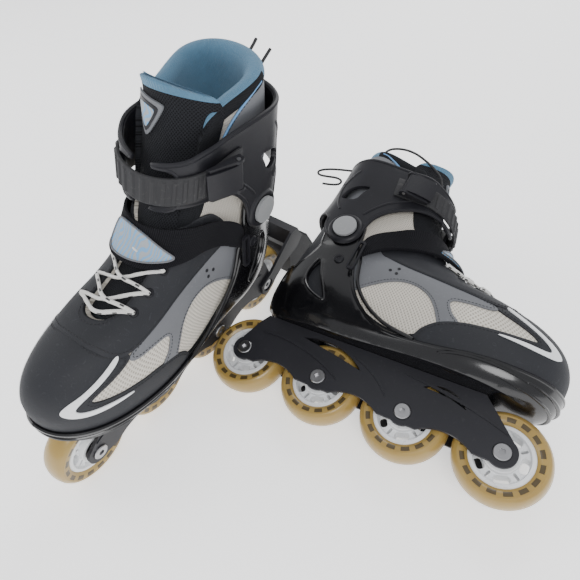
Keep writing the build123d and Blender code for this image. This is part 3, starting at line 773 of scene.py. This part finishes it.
WHITE = plastic("white nylon", (0.78, 0.79, 0.80), (0.6, 0.6, 0.6), 0.38)
STEEL = metal("zinc-plated steel", (0.46, 0.46, 0.47), 0.34)
DARK_STEEL = metal("bearing steel", (0.42, 0.42, 0.43), 0.3)
AMBER = urethane()
LACE = braid()
PATCH = printed_patch()
PIPING = plastic("blue piping", (0.10, 0.26, 0.50), (0.2, 0.35, 0.6), 0.45)
THREAD = plastic("dark thread", (0.02, 0.02, 0.023), (0.05, 0.05, 0.05), 0.8)
CORD = plastic("black elastic cord", (0.012, 0.012, 0.013), (0.03, 0.03, 0.03), 0.6)
# Lining for the inside of the boot and the insole, coloured dark as painted shade deep inside the boot
SHADED_LINING = cloth("lining darkened with painted shade", (0.07, 0.085, 0.10), (0.03, 0.035, 0.04), 0.002, 0.5)

# Nodes whose shape is already right take their finish here
KEPT = {"frame": FRAME, "frame_bolts": STEEL, "axle_bolts": STEEL, "bearings": DARK_STEEL,
        "cuff_pivots": PALE, "buckle_base": SATIN, "buckle_lever": SATIN, "buckle_pin": STEEL,
        "strap_loop": SATIN, "hub_1": WHITE, "hub_2": WHITE, "hub_3": WHITE, "hub_4": WHITE}


def paint_node(name, material):
    mesh = frame["nodes"][name].data
    mesh.materials.clear()
    mesh.materials.append(material)


for side in SIDES:
    for node, material in KEPT.items():
        paint_node(f"{side}_{node}", material)
paint_node("brake_arm", SATIN)
for number in (1, 2):
    paint_node(f"left_tail_{number}", CORD)

# ---------------------------------------------------------------- cords, routes in metres
CORDS = {
    "right_collar_cord": [(-0.086, 0.036, 0.298), (-0.0845, 0.0364, 0.3065), (-0.072, 0.0356, 0.312),
                          (-0.056, 0.034, 0.3115), (-0.040, 0.0316, 0.3045), (-0.026, 0.029, 0.296),
                          (-0.0155, 0.0264, 0.2865), (-0.0126, 0.0246, 0.275)],
    "right_pull_cord": [(-0.140, 0.025, 0.2505), (-0.129, 0.0256, 0.2507), (-0.120, 0.0258, 0.2536),
                        (-0.1201, 0.0256, 0.2596), (-0.128, 0.0254, 0.2624), (-0.141, 0.025, 0.2614),
                        (-0.151, 0.0248, 0.2616), (-0.1546, 0.0246, 0.2666), (-0.1486, 0.0246, 0.2712),
                        (-0.133, 0.0248, 0.275), (-0.115, 0.025, 0.2765)],
}


def free_cord(node, body):
    """A thin elastic cord along its route."""
    side = node.split("_")[0]
    points = to_row(side, np.array(CORDS[node]) / MM)
    curve = bpy.data.curves.new(node + "_line", "CURVE")
    curve.dimensions = "3D"
    spline = curve.splines.new("NURBS")
    spline.points.add(len(points) - 1)
    for point, place in zip(spline.points, points):
        point.co = (*place, 1)
    spline.order_u = 3
    spline.use_endpoint_u = True
    spline.resolution_u = 8
    curve.bevel_depth = 1.25 * MM
    curve.bevel_resolution = 3
    curve.use_fill_caps = True
    curve.materials.append(CORD)
    obj = bpy.data.objects.new(node + "_line", curve)
    bpy.context.scene.collection.objects.link(obj)
    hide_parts(node)
    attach(obj, body)


free_cord("right_collar_cord", "right_chassis")
free_cord("right_pull_cord", "right_cuff_body")


# ---------------------------------------------------------------- stitches
def stitch_tree():
    """Short threads laid end to end along every line of a curve object."""
    tree = bpy.data.node_groups.new("stitch row", "GeometryNodeTree")
    face = tree.interface
    face.new_socket(name="Geometry", in_out="INPUT", socket_type="NodeSocketGeometry")
    for name, value in (("Spacing", 0.003), ("Length", 0.0011), ("Thickness", 0.00035)):
        face.new_socket(name=name, in_out="INPUT", socket_type="NodeSocketFloat").default_value = value
    face.new_socket(name="Thread", in_out="INPUT", socket_type="NodeSocketMaterial")
    face.new_socket(name="Geometry", in_out="OUTPUT", socket_type="NodeSocketGeometry")
    make, link = tree.nodes.new, tree.links.new
    start, end = make("NodeGroupInput"), make("NodeGroupOutput")
    spaced = make("GeometryNodeResampleCurve")
    spaced.mode = "LENGTH"
    link(start.outputs["Geometry"], spaced.inputs["Curve"])
    link(start.outputs["Spacing"], spaced.inputs["Length"])
    thread = make("GeometryNodeMeshUVSphere")
    thread.inputs["Segments"].default_value = 6
    thread.inputs["Rings"].default_value = 4
    thread.inputs["Radius"].default_value = 1.0
    size = make("ShaderNodeCombineXYZ")
    link(start.outputs["Length"], size.inputs["X"])
    link(start.outputs["Thickness"], size.inputs["Y"])
    link(start.outputs["Thickness"], size.inputs["Z"])
    turn = make("FunctionNodeAlignRotationToVector")
    turn.axis = "X"
    link(make("GeometryNodeInputTangent").outputs[0], turn.inputs["Vector"])
    place = make("GeometryNodeInstanceOnPoints")
    link(spaced.outputs[0], place.inputs["Points"])
    link(thread.outputs["Mesh"], place.inputs["Instance"])
    link(turn.outputs[0], place.inputs["Rotation"])
    link(size.outputs[0], place.inputs["Scale"])
    real = make("GeometryNodeRealizeInstances")
    link(place.outputs[0], real.inputs[0])
    coloured = make("GeometryNodeSetMaterial")
    link(real.outputs[0], coloured.inputs["Geometry"])
    link(start.outputs["Thread"], coloured.inputs["Material"])
    link(coloured.outputs[0], end.inputs[0])
    return tree


STITCHES = stitch_tree()


def stitched(name, side, lines, body, material=THREAD):
    """Rows of stitches along lines in a skate's frame, as one mesh."""
    curve = bpy.data.curves.new(name, "CURVE")
    curve.dimensions = "3D"
    for line, closed in lines:
        points = to_row(side, line)
        spline = curve.splines.new("POLY")
        spline.points.add(len(points) - 1)
        spline.points.foreach_set("co", np.hstack([points, np.ones((len(points), 1))]).ravel())
        spline.use_cyclic_u = closed
    source = bpy.data.objects.new(name, curve)
    bpy.context.scene.collection.objects.link(source)
    modifier = source.modifiers.new("stitches", "NODES")
    modifier.node_group = STITCHES
    sockets = {s.name: s.identifier for s in STITCHES.interface.items_tree if s.in_out == "INPUT"}
    modifier[sockets["Thread"]] = material
    graph = bpy.context.evaluated_depsgraph_get()
    mesh = bpy.data.meshes.new_from_object(source.evaluated_get(graph), depsgraph=graph)
    bpy.data.objects.remove(source)
    obj = bpy.data.objects.new(name, mesh)
    bpy.context.scene.collection.objects.link(obj)
    for polygon in mesh.polygons:
        polygon.use_smooth = True
    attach(obj, body)
    return obj


# ---------------------------------------------------------------- outlines of the boot
def collar_height(x):
    return 303 - 0.2505 * (x + 105)


def collar_th(t):
    """Level of the slanting collar line at t."""
    t = np.asarray(t, float)
    h = np.full_like(t, 12.9)
    for _ in range(6):
        h = h_of(collar_height(skin(t, h)[..., 0]))
    return np.stack([t, h], 1)


def throat_edge(half=14.5, low=6.85, high=10.1):
    """The lacing gap's outer edge, from its rounded lower end up to the ankle."""
    h = np.concatenate([[low, low + 0.04, low + 0.18], np.linspace(low + 0.5, high, 8)])
    y = np.minimum(half, half * np.array([0, 0.55, 0.9] + [1.0] * 8))
    t = np.where(y == 0, 3.0, t_at_y(np.maximum(y, 0.1), h))
    return np.stack([t, h], 1)


GAP_ASIDE = 0.07
EYELET_Y = 22.5
EYELET_LEVELS = (9.2, 8.5, 7.7, 7.0)
LACE_RADIUS = 1.75


def aside(th):
    """The lacing gap's points, moved to the outer side of the instep."""
    moved = np.array(th, float)
    moved[:, 0] -= GAP_ASIDE
    return moved


FRONT_EDGE = [(2, 212), (-8, 225), (-16, 243), (-22, 260), (-29, 281)]
EYESTAY_LOW = [(97, 160), (94, 155), (86, 151), (72, 151.5), (50, 155.5), (15, 162.5), (-25, 170.5)]
UPPER_MESH = [(80, 149), (88, 145), (100, 141), (112, 137), (121, 132.5), (119, 130.5), (105, 127.5),
              (85, 125), (60, 121.5)]
T_FRONT = float(outer([FRONT_EDGE[-1]])[0, 0])


def outline_upper():
    """The mesh upper, open at the heel seam: throat, front edges, collar and sole line."""
    throat = throat_edge()
    rest = np.vstack([outer(FRONT_EDGE[:-1]), collar_th(np.linspace(T_FRONT, 0, 14)), [(0.0, 0.05)]])
    return np.vstack([aside(throat), rest, mirrored(rest), aside(mirrored(throat))])


def outline_eyestay():
    throat = throat_edge()
    back = outer([(-14, 214), (-32, 206), (-42, 190), (-34, 172)])
    low = outer(EYESTAY_LOW[::-1])
    middle = np.array([(3.0, h_of(163.0))])
    rest = np.vstack([back, low, middle])
    return np.vstack([aside(throat), rest, mirrored(rest)[1:], aside(mirrored(throat)[:-1])])


def outline_toe_cap():
    edge = outer([(28, 90), (27, 98), (35, 110), (45, 117), (60, 121.5)])
    around = outer(UPPER_MESH[::-1])
    top = np.vstack([outer([(84, 153), (92, 157.5)]), [(3.0, h_of(165.0))]])
    half = np.vstack([edge, around[1:], top])
    low = np.vstack([[(3.0, 0.3)], outer([(120, 88), (80, 87.5), (50, 88)])])
    return np.vstack([half, mirrored(half)[1:], mirrored(low)[:-1], low])


GREY_OVERLAY = [(-64, 150), (-58, 176), (-40, 180), (-25, 172), (15, 164), (50, 157), (72, 152.5),
                (82, 149.5), (84, 146.5), (78, 143.5), (62, 143.5), (43, 141.5), (50, 128), (60, 121),
                (60, 114), (44, 112), (41, 118), (20, 146), (-2, 150), (-25, 140), (-50, 119),
                (-60, 128)]
RAND = [(-60, 138), (-46, 123), (-22, 107), (8, 97), (30, 98), (46, 117), (50, 112), (40, 88),
        (0, 88), (-50, 96), (-64, 116)]
STRIPE = [(84, 121.5), (106, 121), (124, 121.5), (135, 124), (139.5, 129), (134, 135), (118, 142),
          (101, 149), (87, 155), (89, 151), (104, 144.5), (120, 138), (129, 132.5), (131, 129),
          (126, 126), (106, 124.4)]
THIN_STRIPE = [(87, 156), (104, 150.5), (122, 143.5), (138, 134), (146, 124), (147.4, 120),
               (145, 120), (142, 127), (134, 133.5), (120, 141), (103, 148), (87, 154)]
STRAP_HALF = [(-54, 152), (-43, 160), (-32, 172), (-14, 180), (12, 184.5), (30, 186)]
STRAP_TOP = [(30, 212), (0, 213), (-22, 206), (-44, 190), (-54, 176)]
FRONT_BAND = [(4, 206), (-4, 226), (-14, 246), (-20, 262), (-26, 283), (-50, 291), (-44, 276),
              (-36, 258), (-28, 240), (-22, 222), (-14, 210)]
SIDE_PANEL = [(-36, 255), (-46, 270), (-60, 284), (-76, 294), (-84, 297)]
CUFF_LOW_EDGE = [(9, 229), (-6, 233), (-24, 232), (-48, 221), (-57, 203), (-59, 194), (-60, 178),
                 (-69, 168.5), (-80, 167), (-92, 172), (-98, 184), (-98, 197), (-106, 205)]
CUFF_TOP_EDGE = [(-112, 277), (-98, 277), (-80, 278), (-50, 275), (-26, 273), (-15, 267), (-2, 262.5)]
CUFF_SLOT = [(-97, 225), (-93, 234), (-85, 240.5), (-70, 243.5), (-76, 234), (-79, 222), (-89, 221)]
SHELL_EDGE = [(130, 102), (112, 100), (84, 98), (56, 94), (30, 93), (6, 94), (-12, 99), (-26, 109),
              (-38, 121), (-48, 136), (-54, 152), (-58, 170), (-59, 190), (-64, 201), (-74, 206),
              (-84, 205.5), (-94, 199), (-98, 188), (-96, 174), (-95, 163), (-104, 147), (-112, 139),
              (-124, 138)]
SHELL_WINDOW = [(-86, 150), (-93, 138), (-92, 124), (-82, 113), (-66, 106), (-60, 105), (-66, 116),
                (-78, 134)]


def cuff_outline():
    """The hinged cuff, open at the front, closed round the heel."""
    wing = np.array([[float(t_at_y(23.0, h_of(z))), h_of(z)] for z in (229, 246, 262)])
    half = np.vstack([outer(CUFF_TOP_EDGE[::-1]), [(0.0, h_of(277.0))]])
    upper = round_heel(np.vstack([wing[::-1][:1], half]))
    lower = round_heel(np.vstack([wing[:1], outer(CUFF_LOW_EDGE), [(0.0, h_of(206.0))]]))
    return np.vstack([upper, lower[::-1]])


def shell_rim():
    """The moulded cup's upper edge on the outer side, from the toe to the heel."""
    return np.vstack([[(3.0, h_of(104.0))], outer(SHELL_EDGE), [(0.0, h_of(138.0))]])


def shell_outline():
    half = shell_rim()
    sole = [(t, 0.0) for t in (0.0, 1.5, 3.0, 4.5, 6.0)]
    return np.vstack([half, sole, mirrored(half)[:-1]])


# ---------------------------------------------------------------- pieces of one skate
def both_sides(points, low, high, **options):
    return [panel(outer(points), low, high, **options), panel(inner(points), low, high, **options)]


def make_upper(side):
    piece("mesh_upper", side, [panel(outline_upper(), -3.8, -0.2, soft=1)], [MESH], replaces="boot")
    piece("quarter_overlays", side, both_sides(GREY_OVERLAY, -0.4, 0.9, step=3.2), [GREY], bevel=0.35)
    piece("rand", side, both_sides(RAND, -0.4, 0.4), [BLACK_MESH], bevel=0.2)
    piece("toe_cap", side, [panel(outline_toe_cap(), -0.4, 1.0, step=3.2, crown=0.6)], [CHARCOAL],
          bevel=0.35)
    piece("eyestay", side, [panel(outline_eyestay(), -0.4, 1.5, step=3.2, crown=0.3)], [CHARCOAL],
          bevel=0.4)
    stripes = [panel(outer(STRIPE), 1.2, 2.1, step=2.2, soft=2),
               panel(inner(THIN_STRIPE), 1.2, 2.0, step=2.0, soft=1)]
    piece("side_stripes", side, stripes, [SILVER], bevel=0.25)
    rear = np.vstack([outer(SIDE_PANEL), collar_th([0.9, 0.6, 0.3, 0.0])])
    low = np.vstack([outer([(-36, 255), (-44, 236), (-60, 226)]), [(0.0, h_of(222.0))]])
    loop = np.vstack([round_heel(rear), round_heel(low)[::-1][1:-1]])
    piece("collar_panel", side, [panel(loop, -0.4, 0.9, crown=0.8)], [GREY], bevel=0.35)
    bands = both_sides(FRONT_BAND, -4.0, 1.2, step=3.2, crown=0.8)
    piece("front_bands", side, bands, [BLACK_MESH], bevel=0.8)
    heel = np.vstack([outer([(-62, 200), (-58, 160), (-66, 112), (-62, 92)]), [(0.0, 0.6)]])
    top = np.vstack([outer([(-62, 200)]), [(0.0, h_of(208.0))]])
    counter = np.vstack([round_heel(heel), round_heel(top)[::-1][1:-1]])
    piece("heel_counter", side, [panel(counter, -0.4, 0.2)], [CHARCOAL])
    pipes = [tube(edge_line(f(SIDE_PANEL), 1.3, 2.0, 2, closed=False), 0.9, 8) for f in (outer, inner)]
    piece("collar_piping", side, pipes, [PIPING])


def make_seams(side):
    """Stitch rows along the overlays."""
    lines = []
    for f in (outer, inner):
        lines.append((edge_line(f(GREY_OVERLAY), 1.0, inset=2.0), True))
        lines.append((edge_line(f(SIDE_PANEL), 1.1, inset=2.5, closed=False), False))
    lines.append((edge_line(outline_eyestay(), 1.75, inset=2.2), True))
    lines.append((edge_line(outline_toe_cap(), 1.35, inset=2.2), True))
    stitched(f"{side}_seams", side, lines, f"{side}_chassis")


def eyelet_rows():
    """Surface coordinates of the outer and inner eyelet of each row, from the ankle to the toe."""
    outers = [(float(t_at_y(EYELET_Y, h)), h) for h in EYELET_LEVELS]
    return [aside([(t, h), (6 - t, h)]) for t, h in outers]


def make_vents(side):
    """Three small vents in each quarter overlay, and the eyelets."""
    dots = []
    for f in (outer, inner):
        for t, h in f([(-11, 161), (-18, 157), (-11, 155)]):
            dots.append(lathe([(0.0, 0.25), (0.8, 0.25), (1.2, 0.5), (1.5, 0.35), (1.6, 0.0)],
                              skin(t, h, 0.9), skin_normal(t, h), 14))
    piece("vents", side, dots, [SATIN])
    rings = []
    for row in eyelet_rows():
        for t, h in row:
            rings.append(lathe([(2.0, -0.4), (1.9, 0.9), (2.4, 1.5), (3.1, 1.4), (3.8, 0.6), (3.9, -0.4)],
                               skin(t, h, 1.6), skin_normal(t, h), 24, closed=True))
    piece("eyelet_rings", side, rings, [SATIN],
          replaces="eyelets")


def make_laces(side):
    """Laces that cross over the tongue between the rows of eyelets."""
    over_tongue = [(22, 203.5), (42, 188.5), (61, 179.5), (79, 173.5)]
    rows = [[(skin(t, h, 2.4), skin_normal(t, h)) for t, h in row] for row in eyelet_rows()]
    shapes = []

    def strand(start, finish, middle):
        (a, n), (b, m) = start, finish
        route = np.array([a - 2.5 * n, a + 1.8 * n, a * 0.62 + middle * 0.38 + (0, 0, 2.2),
                          middle, b * 0.62 + middle * 0.38 + (0, 0, 2.2), b + 1.8 * m, b - 2.5 * m])
        line = evenly(softened(route, 3, closed=False), 1.5, closed=False)
        shapes.append(tube(line, LACE_RADIUS, 10, squash=0.8))

    for k in range(3):
        x, z = np.add(over_tongue[k], over_tongue[k + 1]) / 2
        middle = np.array([x, TONGUE_SHIFT, z + 1.2])
        strand(rows[k][0], rows[k + 1][1], middle)
        strand(rows[k][1], rows[k + 1][0], middle + (0, 0, 3.0))
    strand(rows[3][0], rows[3][1], np.array([80.0, TONGUE_SHIFT, 173.0]))
    strand(rows[0][0], rows[0][1], np.array([20.0, TONGUE_SHIFT, 206.5]))
    piece("laces", side, shapes, [LACE],
          replaces="lace")


def make_strap(side):
    """The webbing strap over the instep, with its label patch."""
    half_low = np.vstack([outer(STRAP_HALF), [(3.0, h_of(186.5))]])
    half_top = np.vstack([outer(STRAP_TOP[::-1]), [(3.0, h_of(212.0))]])
    loop = np.vstack([over_toe(half_low), over_toe(half_top)[::-1]])
    piece("instep_webbing", side, [panel(loop, 5.0, 7.0, step=3.4)], [WEBBING],
          replaces="instep_strap", bevel=0.4)
    patch = np.array([(2.62, h_of(189.0)), (2.9, h_of(190.0)), (3.3, h_of(189.0)), (3.62, h_of(188.0)),
                      (3.72, h_of(197.0)), (3.6, h_of(208.0)), (3.3, h_of(210.0)), (3.0, h_of(204.0)),
                      (2.7, h_of(193.0))]) - (0.25, 0.0)
    border = tube(edge_line(patch, 8.3, 1.6), 0.75, 8, closed=True)
    piece("strap_patch", side, [panel(patch, 6.8, 8.2, step=2.6)], [PATCH], bevel=0.3)
    piece("strap_patch_border", side, [border], [GREY])


def make_shell(side):
    """The moulded cup with its struts, a rolled rim, the toe bumper and the sole."""
    wall = panel(shell_outline(), SHELL_LOW, SHELL_HIGH, step=4.0, soft=1,
                 holes=[outer(SHELL_WINDOW), inner(SHELL_WINDOW)])
    middle = (SHELL_LOW + SHELL_HIGH) / 2 + 0.5
    rim = edge_line(round_heel(shell_rim()), middle, 2.4, 1, closed=False)
    windows = [edge_line(f(SHELL_WINDOW), SHELL_HIGH - 0.6, 2.4) for f in (outer, inner)]
    shapes = [wall, tube(rim, 2.1, 8)] + [tube(w, 1.5, 8, closed=True) for w in windows]
    ts = np.linspace(2.25, 3.75, 70)
    taper = np.sin(np.pi * (ts - 2.25) / 1.5) ** 0.5
    for z, radius in ((96.5, 1.7), (90.5, 1.5)):
        shapes.append(tube(skin(ts, np.full_like(ts, h_of(z)), SHELL_HIGH), radius * taper + 0.05, 8))
    for f in (outer, inner):
        rib = f([(120, 96), (92, 97), (66, 95), (52, 91)])
        shapes.append(tube(edge_line(rib, SHELL_HIGH, 2.0, 3, closed=False), 1.3, 8))
        ridge = f([(-50, 160), (-44, 138), (-28, 118), (-4, 101), (30, 95)])
        shapes.append(tube(edge_line(ridge, SHELL_HIGH - 0.2, 2.4, 3, closed=False), 1.8, 8))
    loop = evenly(skin(np.linspace(0, 6, 121)[:-1], 0.0, SHELL_HIGH), 4.0)
    points, faces = triangulated([loop[:, :2]], 6.0)
    low = np.hstack([points, np.full((len(points), 1), 80.7)])
    top = np.hstack([points, np.full((len(points), 1), 83.5)])
    shapes.append(slab(points, faces, low, top, points))
    piece("shell_cup", side, shapes, [SHELL],
          replaces="shell", bevel=0.4)
    rivets = []
    for sign in (1, -1):
        t, h = (outer if sign > 0 else inner)([(-67, 150)])[0]
        rivets.append(lathe([(0.0, 0.6), (2.0, 0.6), (2.4, 1.4), (4.4, 1.3), (5.0, 0.7), (5.1, -0.5)],
                            skin(t, h, SHELL_HIGH + 0.4), (0, sign, 0.05), 24))
    piece("strut_rivets", side, rivets, [SATIN])


def make_cuff(side):
    outline = cuff_outline()
    wall = panel(outline, CUFF_LOW, CUFF_HIGH, step=4.0, spread=CUFF_SPREAD, crown=0.0,
                 holes=[outer(CUFF_SLOT), inner(CUFF_SLOT) - (6, 0)])
    rim = edge_line(outline, (CUFF_LOW + CUFF_HIGH) / 2 + 0.5, 2.4, spread=CUFF_SPREAD)
    shapes = [wall, tube(rim, 2.0, 8, closed=True)]
    for sign in (1, -1):
        shapes.append(lathe([(12.4, 3.0), (12.6, 5.4), (13.6, 6.0), (15.6, 5.8), (17.4, 4.4), (18.4, 2.0)],
                            (PIVOT_X, sign * 40.0, PIVOT_Z), (0, sign, 0), 48))
        f = outer if sign > 0 else inner
        for run in ([(-66, 205), (-58, 222), (-40, 238), (-14, 246)],
                    [(-90, 206), (-98, 222), (-100, 244), (-88, 262)]):
            shapes.append(tube(edge_line(f(run), CUFF_HIGH - 0.5, 2.4, 3, closed=False,
                                         spread=CUFF_SPREAD), 1.5, 8))
    piece("cuff_shell", side, shapes, [SATIN], body="cuff_body",
          replaces="cuff", bevel=0.4)


def make_ladder(side):
    """The ribbed strap from the buckle round the front to the inner side."""
    ts = np.linspace(1.62, 4.25, 420)
    ribs = (ts > 1.95) & (ts < 4.0)
    wave = np.where(ribs, 0.9 * np.clip(1.6 * np.sin(np.pi * (ts - 1.95) / 2.05 * 34), -0.2, 1), 0.3)
    rows = []
    sag = 7.0 * np.clip(1 - np.abs(ts - 3) / 1.3, 0, 1)
    for share, growth in ((0, 8.9), (0, 10.4), (0.06, 11.0), (0.1, 11.2), (0.9, 11.2), (0.94, 11.0),
                          (1, 10.4), (1, 8.9)):
        height = LADDER_LOW + share * (LADDER_HIGH - LADDER_LOW) - sag
        ribbed = wave if 0.09 < share < 0.91 else 0 * wave
        rows.append(skin(ts, h_of(height), growth + ribbed, CUFF_SPREAD))
    points = np.array(rows)
    strap = grid(points, np.stack([np.broadcast_to(ts * ALONG, points.shape[:2]),
                                   points[..., 2]], -1), wrap_rows=True)
    capped(strap, *points.shape[:2])
    piece("ratchet_strap", side, [strap], [RUBBER], body="cuff_body",
          replaces="ladder_strap")


def make_collar(side):
    """The padded collar lining, from the rear of one front edge round the heel to the other."""
    ts = np.linspace(T_FRONT + 0.05, -T_FRONT - 0.05, 90)
    line = collar_th(ts)
    heights = collar_height(skin(line[:, 0], line[:, 1])[:, 0])
    end = np.clip(np.minimum(ts[0] - ts, ts - ts[-1]) / 0.12, 0.0, 1.0) ** 0.5
    profile = [(0.4, -8), (1.8, -4), (2.2, 0), (0.6, 4), (-3.2, 6.6), (-7.6, 5.6), (-10.8, 2),
               (-12.2, -4), (-12.4, -16), (-11.8, -34), (-10.8, -62), (-7.6, -64), (-6.4, -40), (-5.4, -12)]
    rows = []
    for growth, rise in profile:
        g = -6.0 + (growth + 6.0) * (0.04 + 0.96 * end)
        rows.append(skin(ts, h_of(heights - 8 * (1 - end) + rise * (0.04 + 0.96 * end)), g))
    points = np.array(rows)
    uv = np.stack([np.broadcast_to(ts * ALONG, points.shape[:2]), points[..., 2]], -1)
    collar = grid(points, uv, wrap_rows=True)
    columns = points.shape[1]
    outside, front = (0, 1, 2, len(profile) - 1), 0.8
    collar["m"] = [int(k // (columns - 1) in outside and abs(ts[k % (columns - 1)]) > front)
                   for k in range(len(collar["f"]))]
    capped(collar, *points.shape[:2])
    # The collar's blue velour lining carries painted shade in its darkened colour
    obj = piece("collar_padding", side, [collar], [SHADED_BLUE, BLACK_MESH],
                replaces="liner", levels=1, angle=70)
    # A dark sheet round the inside of the boot; its dark colour is painted shade
    sock_t = np.linspace(0, 6, 97)
    rows = [skin(sock_t, np.full_like(sock_t, h), g) for g, hs in ((-10.6, np.linspace(1.0, 12.2, 26)),
                                                                  (-11.4, np.linspace(12.2, 1.0, 26)))
            for h in hs]
    points = np.array(rows)
    uv = np.stack([np.broadcast_to(sock_t * ALONG, points.shape[:2]), points[..., 2]], -1)
    piece("inner_sock", side, [grid(points, uv, wrap_rows=True)], [SHADED_LINING])


def make_footbed(side):
    loop = evenly(skin(np.linspace(0, 6, 121)[:-1], 0.75, -11.6), 5.0)
    points, faces = triangulated([loop[:, :2]], 7.0)
    wide = np.abs(points[:, 1]) / 30.0
    top = np.hstack([points, (98.6 + 1.6 * wide ** 2)[:, None]])
    low = np.hstack([points, np.full((len(points), 1), 95.0)])
    # The insole's dark colour is painted shade deep in the boot
    obj = piece("insole", side, [slab(points, faces, low, top, points)], [SHADED_LINING],
                replaces="footbed", bevel=0.8)


TONGUE_SHIFT = 5.0
TONGUE_ARCH = 16.0
BADGE_ASIDE = 8.0
TONGUE_ROUTE = [(76, 166.5), (58, 173), (40, 181.5), (24, 194), (11, 212), (3, 232), (-5, 254), (-11, 276),
                (-15, 296), (-16, 309), (-13, 318)]
TONGUE_HALF = [14, 20, 22, 23, 23, 23.5, 26, 31, 36, 37.5, 33]


def make_tongue(side):
    """A thick pad from the throat's lower end up over the shin, flared at the top."""
    route = evenly(softened(np.array(TONGUE_ROUTE, float), 3, closed=False), 5.0, closed=False)
    count = len(route)
    along = np.linspace(0, 1, count)
    half = np.interp(along, np.linspace(0, 1, len(TONGUE_HALF)), TONGUE_HALF)
    ahead = np.gradient(route, axis=0)
    ahead /= np.linalg.norm(ahead, axis=1, keepdims=True)
    normal = np.stack([ahead[:, 1], -ahead[:, 0]], 1)
    thick = np.interp(along, [0, 0.08, 0.5, 0.85, 0.97, 1], [2, 4.0, 5.0, 7.0, 6.0, 2.0])
    bend = np.interp(along, [0, 0.3, 0.6, 1.0], [0.014, 0.017, 0.020, 0.022])
    level = np.clip((along - 0.35) / 0.25, 0, 1)[:, None]
    inward = normal * (1 - level) + np.array([1.0, 0.0]) * level
    inward /= np.linalg.norm(inward, axis=1, keepdims=True)
    rows, kinds = [], []
    shares = np.linspace(-1, 1, 17)
    for s, front in [(s, True) for s in shares] + [(s, False) for s in shares[::-1]]:
        y = half * s
        depth = (0.5 if front else -0.5) * thick * math.sqrt(max(0.0, 1 - s ** 4)) - 0.5 * thick
        place = route + normal * depth[:, None] - inward * (bend * y * y)[:, None]
        height = place[:, 1] - TONGUE_ARCH * s * s * np.clip((along - 0.7) / 0.3, 0, 1)
        rows.append(np.stack([place[:, 0], y + TONGUE_SHIFT * (1 - level[:, 0]), height], 1))
        kinds.append(0 if front else 1)
    points = np.array(rows)
    run = np.broadcast_to(along * 5.0 * count, points.shape[:2])
    uv = np.stack([points[..., 1], run], -1)
    tongue = grid(points, uv, wrap_rows=True)
    per_row = points.shape[1] - 1
    tongue["m"] = [1 if (k // per_row >= 16 or k % per_row > per_row - 3) else 0
                   for k in range(len(tongue["f"]))]
    capped(tongue, *points.shape[:2], finishes=(0, 1))
    # The tongue's blue back carries painted shade in its darkened colour
    obj = piece("tongue_pad", side, [tongue], [BLACK_MESH, SHADED_BLUE], replaces="tongue",
                levels=1, angle=80)
    make_badge(side, route, normal, inward, bend, int(count * 0.83))


def make_badge(side, route, normal, inward, bend, middle):
    """The moulded three-cornered badge on the tongue's front."""
    corner = np.array([(-12, 9), (0, 11), (12, 9), (13, 6), (2, -12), (-2, -12), (-13, 6)], float)
    for name, scale, low, high, material in (("badge", 1.25, 0.2, 1.8, GREY),
                                             ("badge_ring", 0.98, 1.6, 2.2, SATIN),
                                             ("badge_inlay", 0.74, 2.0, 2.7, PATCH)):
        loop = evenly(softened(corner * scale, 2), 1.6)
        points, faces = triangulated([loop], 2.2)
        step = np.clip(middle + points[:, 1] / 5.0, 0, len(route) - 1)
        index = np.arange(len(route))
        base = np.stack([np.interp(step, index, route[:, i]) for i in (0, 1)], 1)
        n = np.stack([np.interp(step, index, normal[:, i]) for i in (0, 1)], 1)
        back = np.stack([np.interp(step, index, inward[:, i]) for i in (0, 1)], 1)
        y = points[:, 0] - BADGE_ASIDE
        drop = (np.interp(step, index, bend) * y * y)[:, None]
        skins = []
        for d in (low, high):
            place = base + n * d - back * drop
            skins.append(np.stack([place[:, 0], y, place[:, 1]], 1))
        piece(f"tongue_{name}", side, [slab(points, faces, *skins, points)], [material],
              bevel=0.3)


def make_tyres(side):
    profile = [(25.5, -9.6), (28.0, -11.4), (30.0, -11.9), (33.0, -12.0), (35.3, -10.6), (36.9, -8.0),
               (37.9, -4.4), (38.45, 0), (37.9, 4.4), (36.9, 8.0), (35.3, 10.6), (33.0, 12.0),
               (30.0, 11.9), (28.0, 11.4), (25.5, 9.6)]
    for number in range(4):
        x = 81.0 * (number - 1.5)
        ring = lathe(profile, (x, 0, AXLE_HEIGHT), (0, 1, 0), 96, closed=True)
        rows = len(profile)
        last_turn = 96 * rows
        ring["v"] = np.vstack([ring["v"], ring["v"][:rows]])
        ring["uv"] = np.vstack([ring["uv"], [(2 * math.pi, r) for r, _ in profile]])
        ring["f"] = [tuple(i + last_turn if i < rows and max(face) >= 95 * rows else i for i in face)
                     for face in ring["f"]]
        piece(f"wheel_tyre_{number + 1}", side, [ring], [AMBER],
              body=f"wheel_{number + 1}", replaces=f"tyre_{number + 1}", angle=30, weld=False)


def make_brake():
    """The heel brake's rubber block, ribbed across its worn face."""
    outline = np.array([(-165, 56.6), (-178, 55.6), (-186, 65), (-198, 58), (-212, 34), (-226, 12),
                        (-222, 5), (-172, 9), (-168, 30)], float)
    loop = evenly(softened(outline, 1), 2.5)
    points, faces = triangulated([loop], 4.0)
    sides = [np.stack([points[:, 0], np.full(len(points), y), points[:, 1]], 1) for y in (-19.0, 19.0)]
    shapes = [slab(points, faces, sides[1], sides[0], points)]
    for share in np.linspace(0.12, 0.92, 9):
        x, z = -198 + share * -27, 58 + share * -44
        shapes.append(tube(np.array([(x - 0.6, y, z + 0.4) for y in np.linspace(-18, 18, 12)]), 1.7, 8))
    piece("brake_block", "left", shapes, [RUBBER],
          replaces="brake_pad", paired=False, bevel=1.2)


for side in SIDES:
    make_upper(side)
    make_seams(side)
    make_vents(side)
    make_laces(side)
    make_strap(side)
    make_shell(side)
    make_cuff(side)
    make_ladder(side)
    make_collar(side)
    make_footbed(side)
    make_tongue(side)
    make_tyres(side)
make_brake()
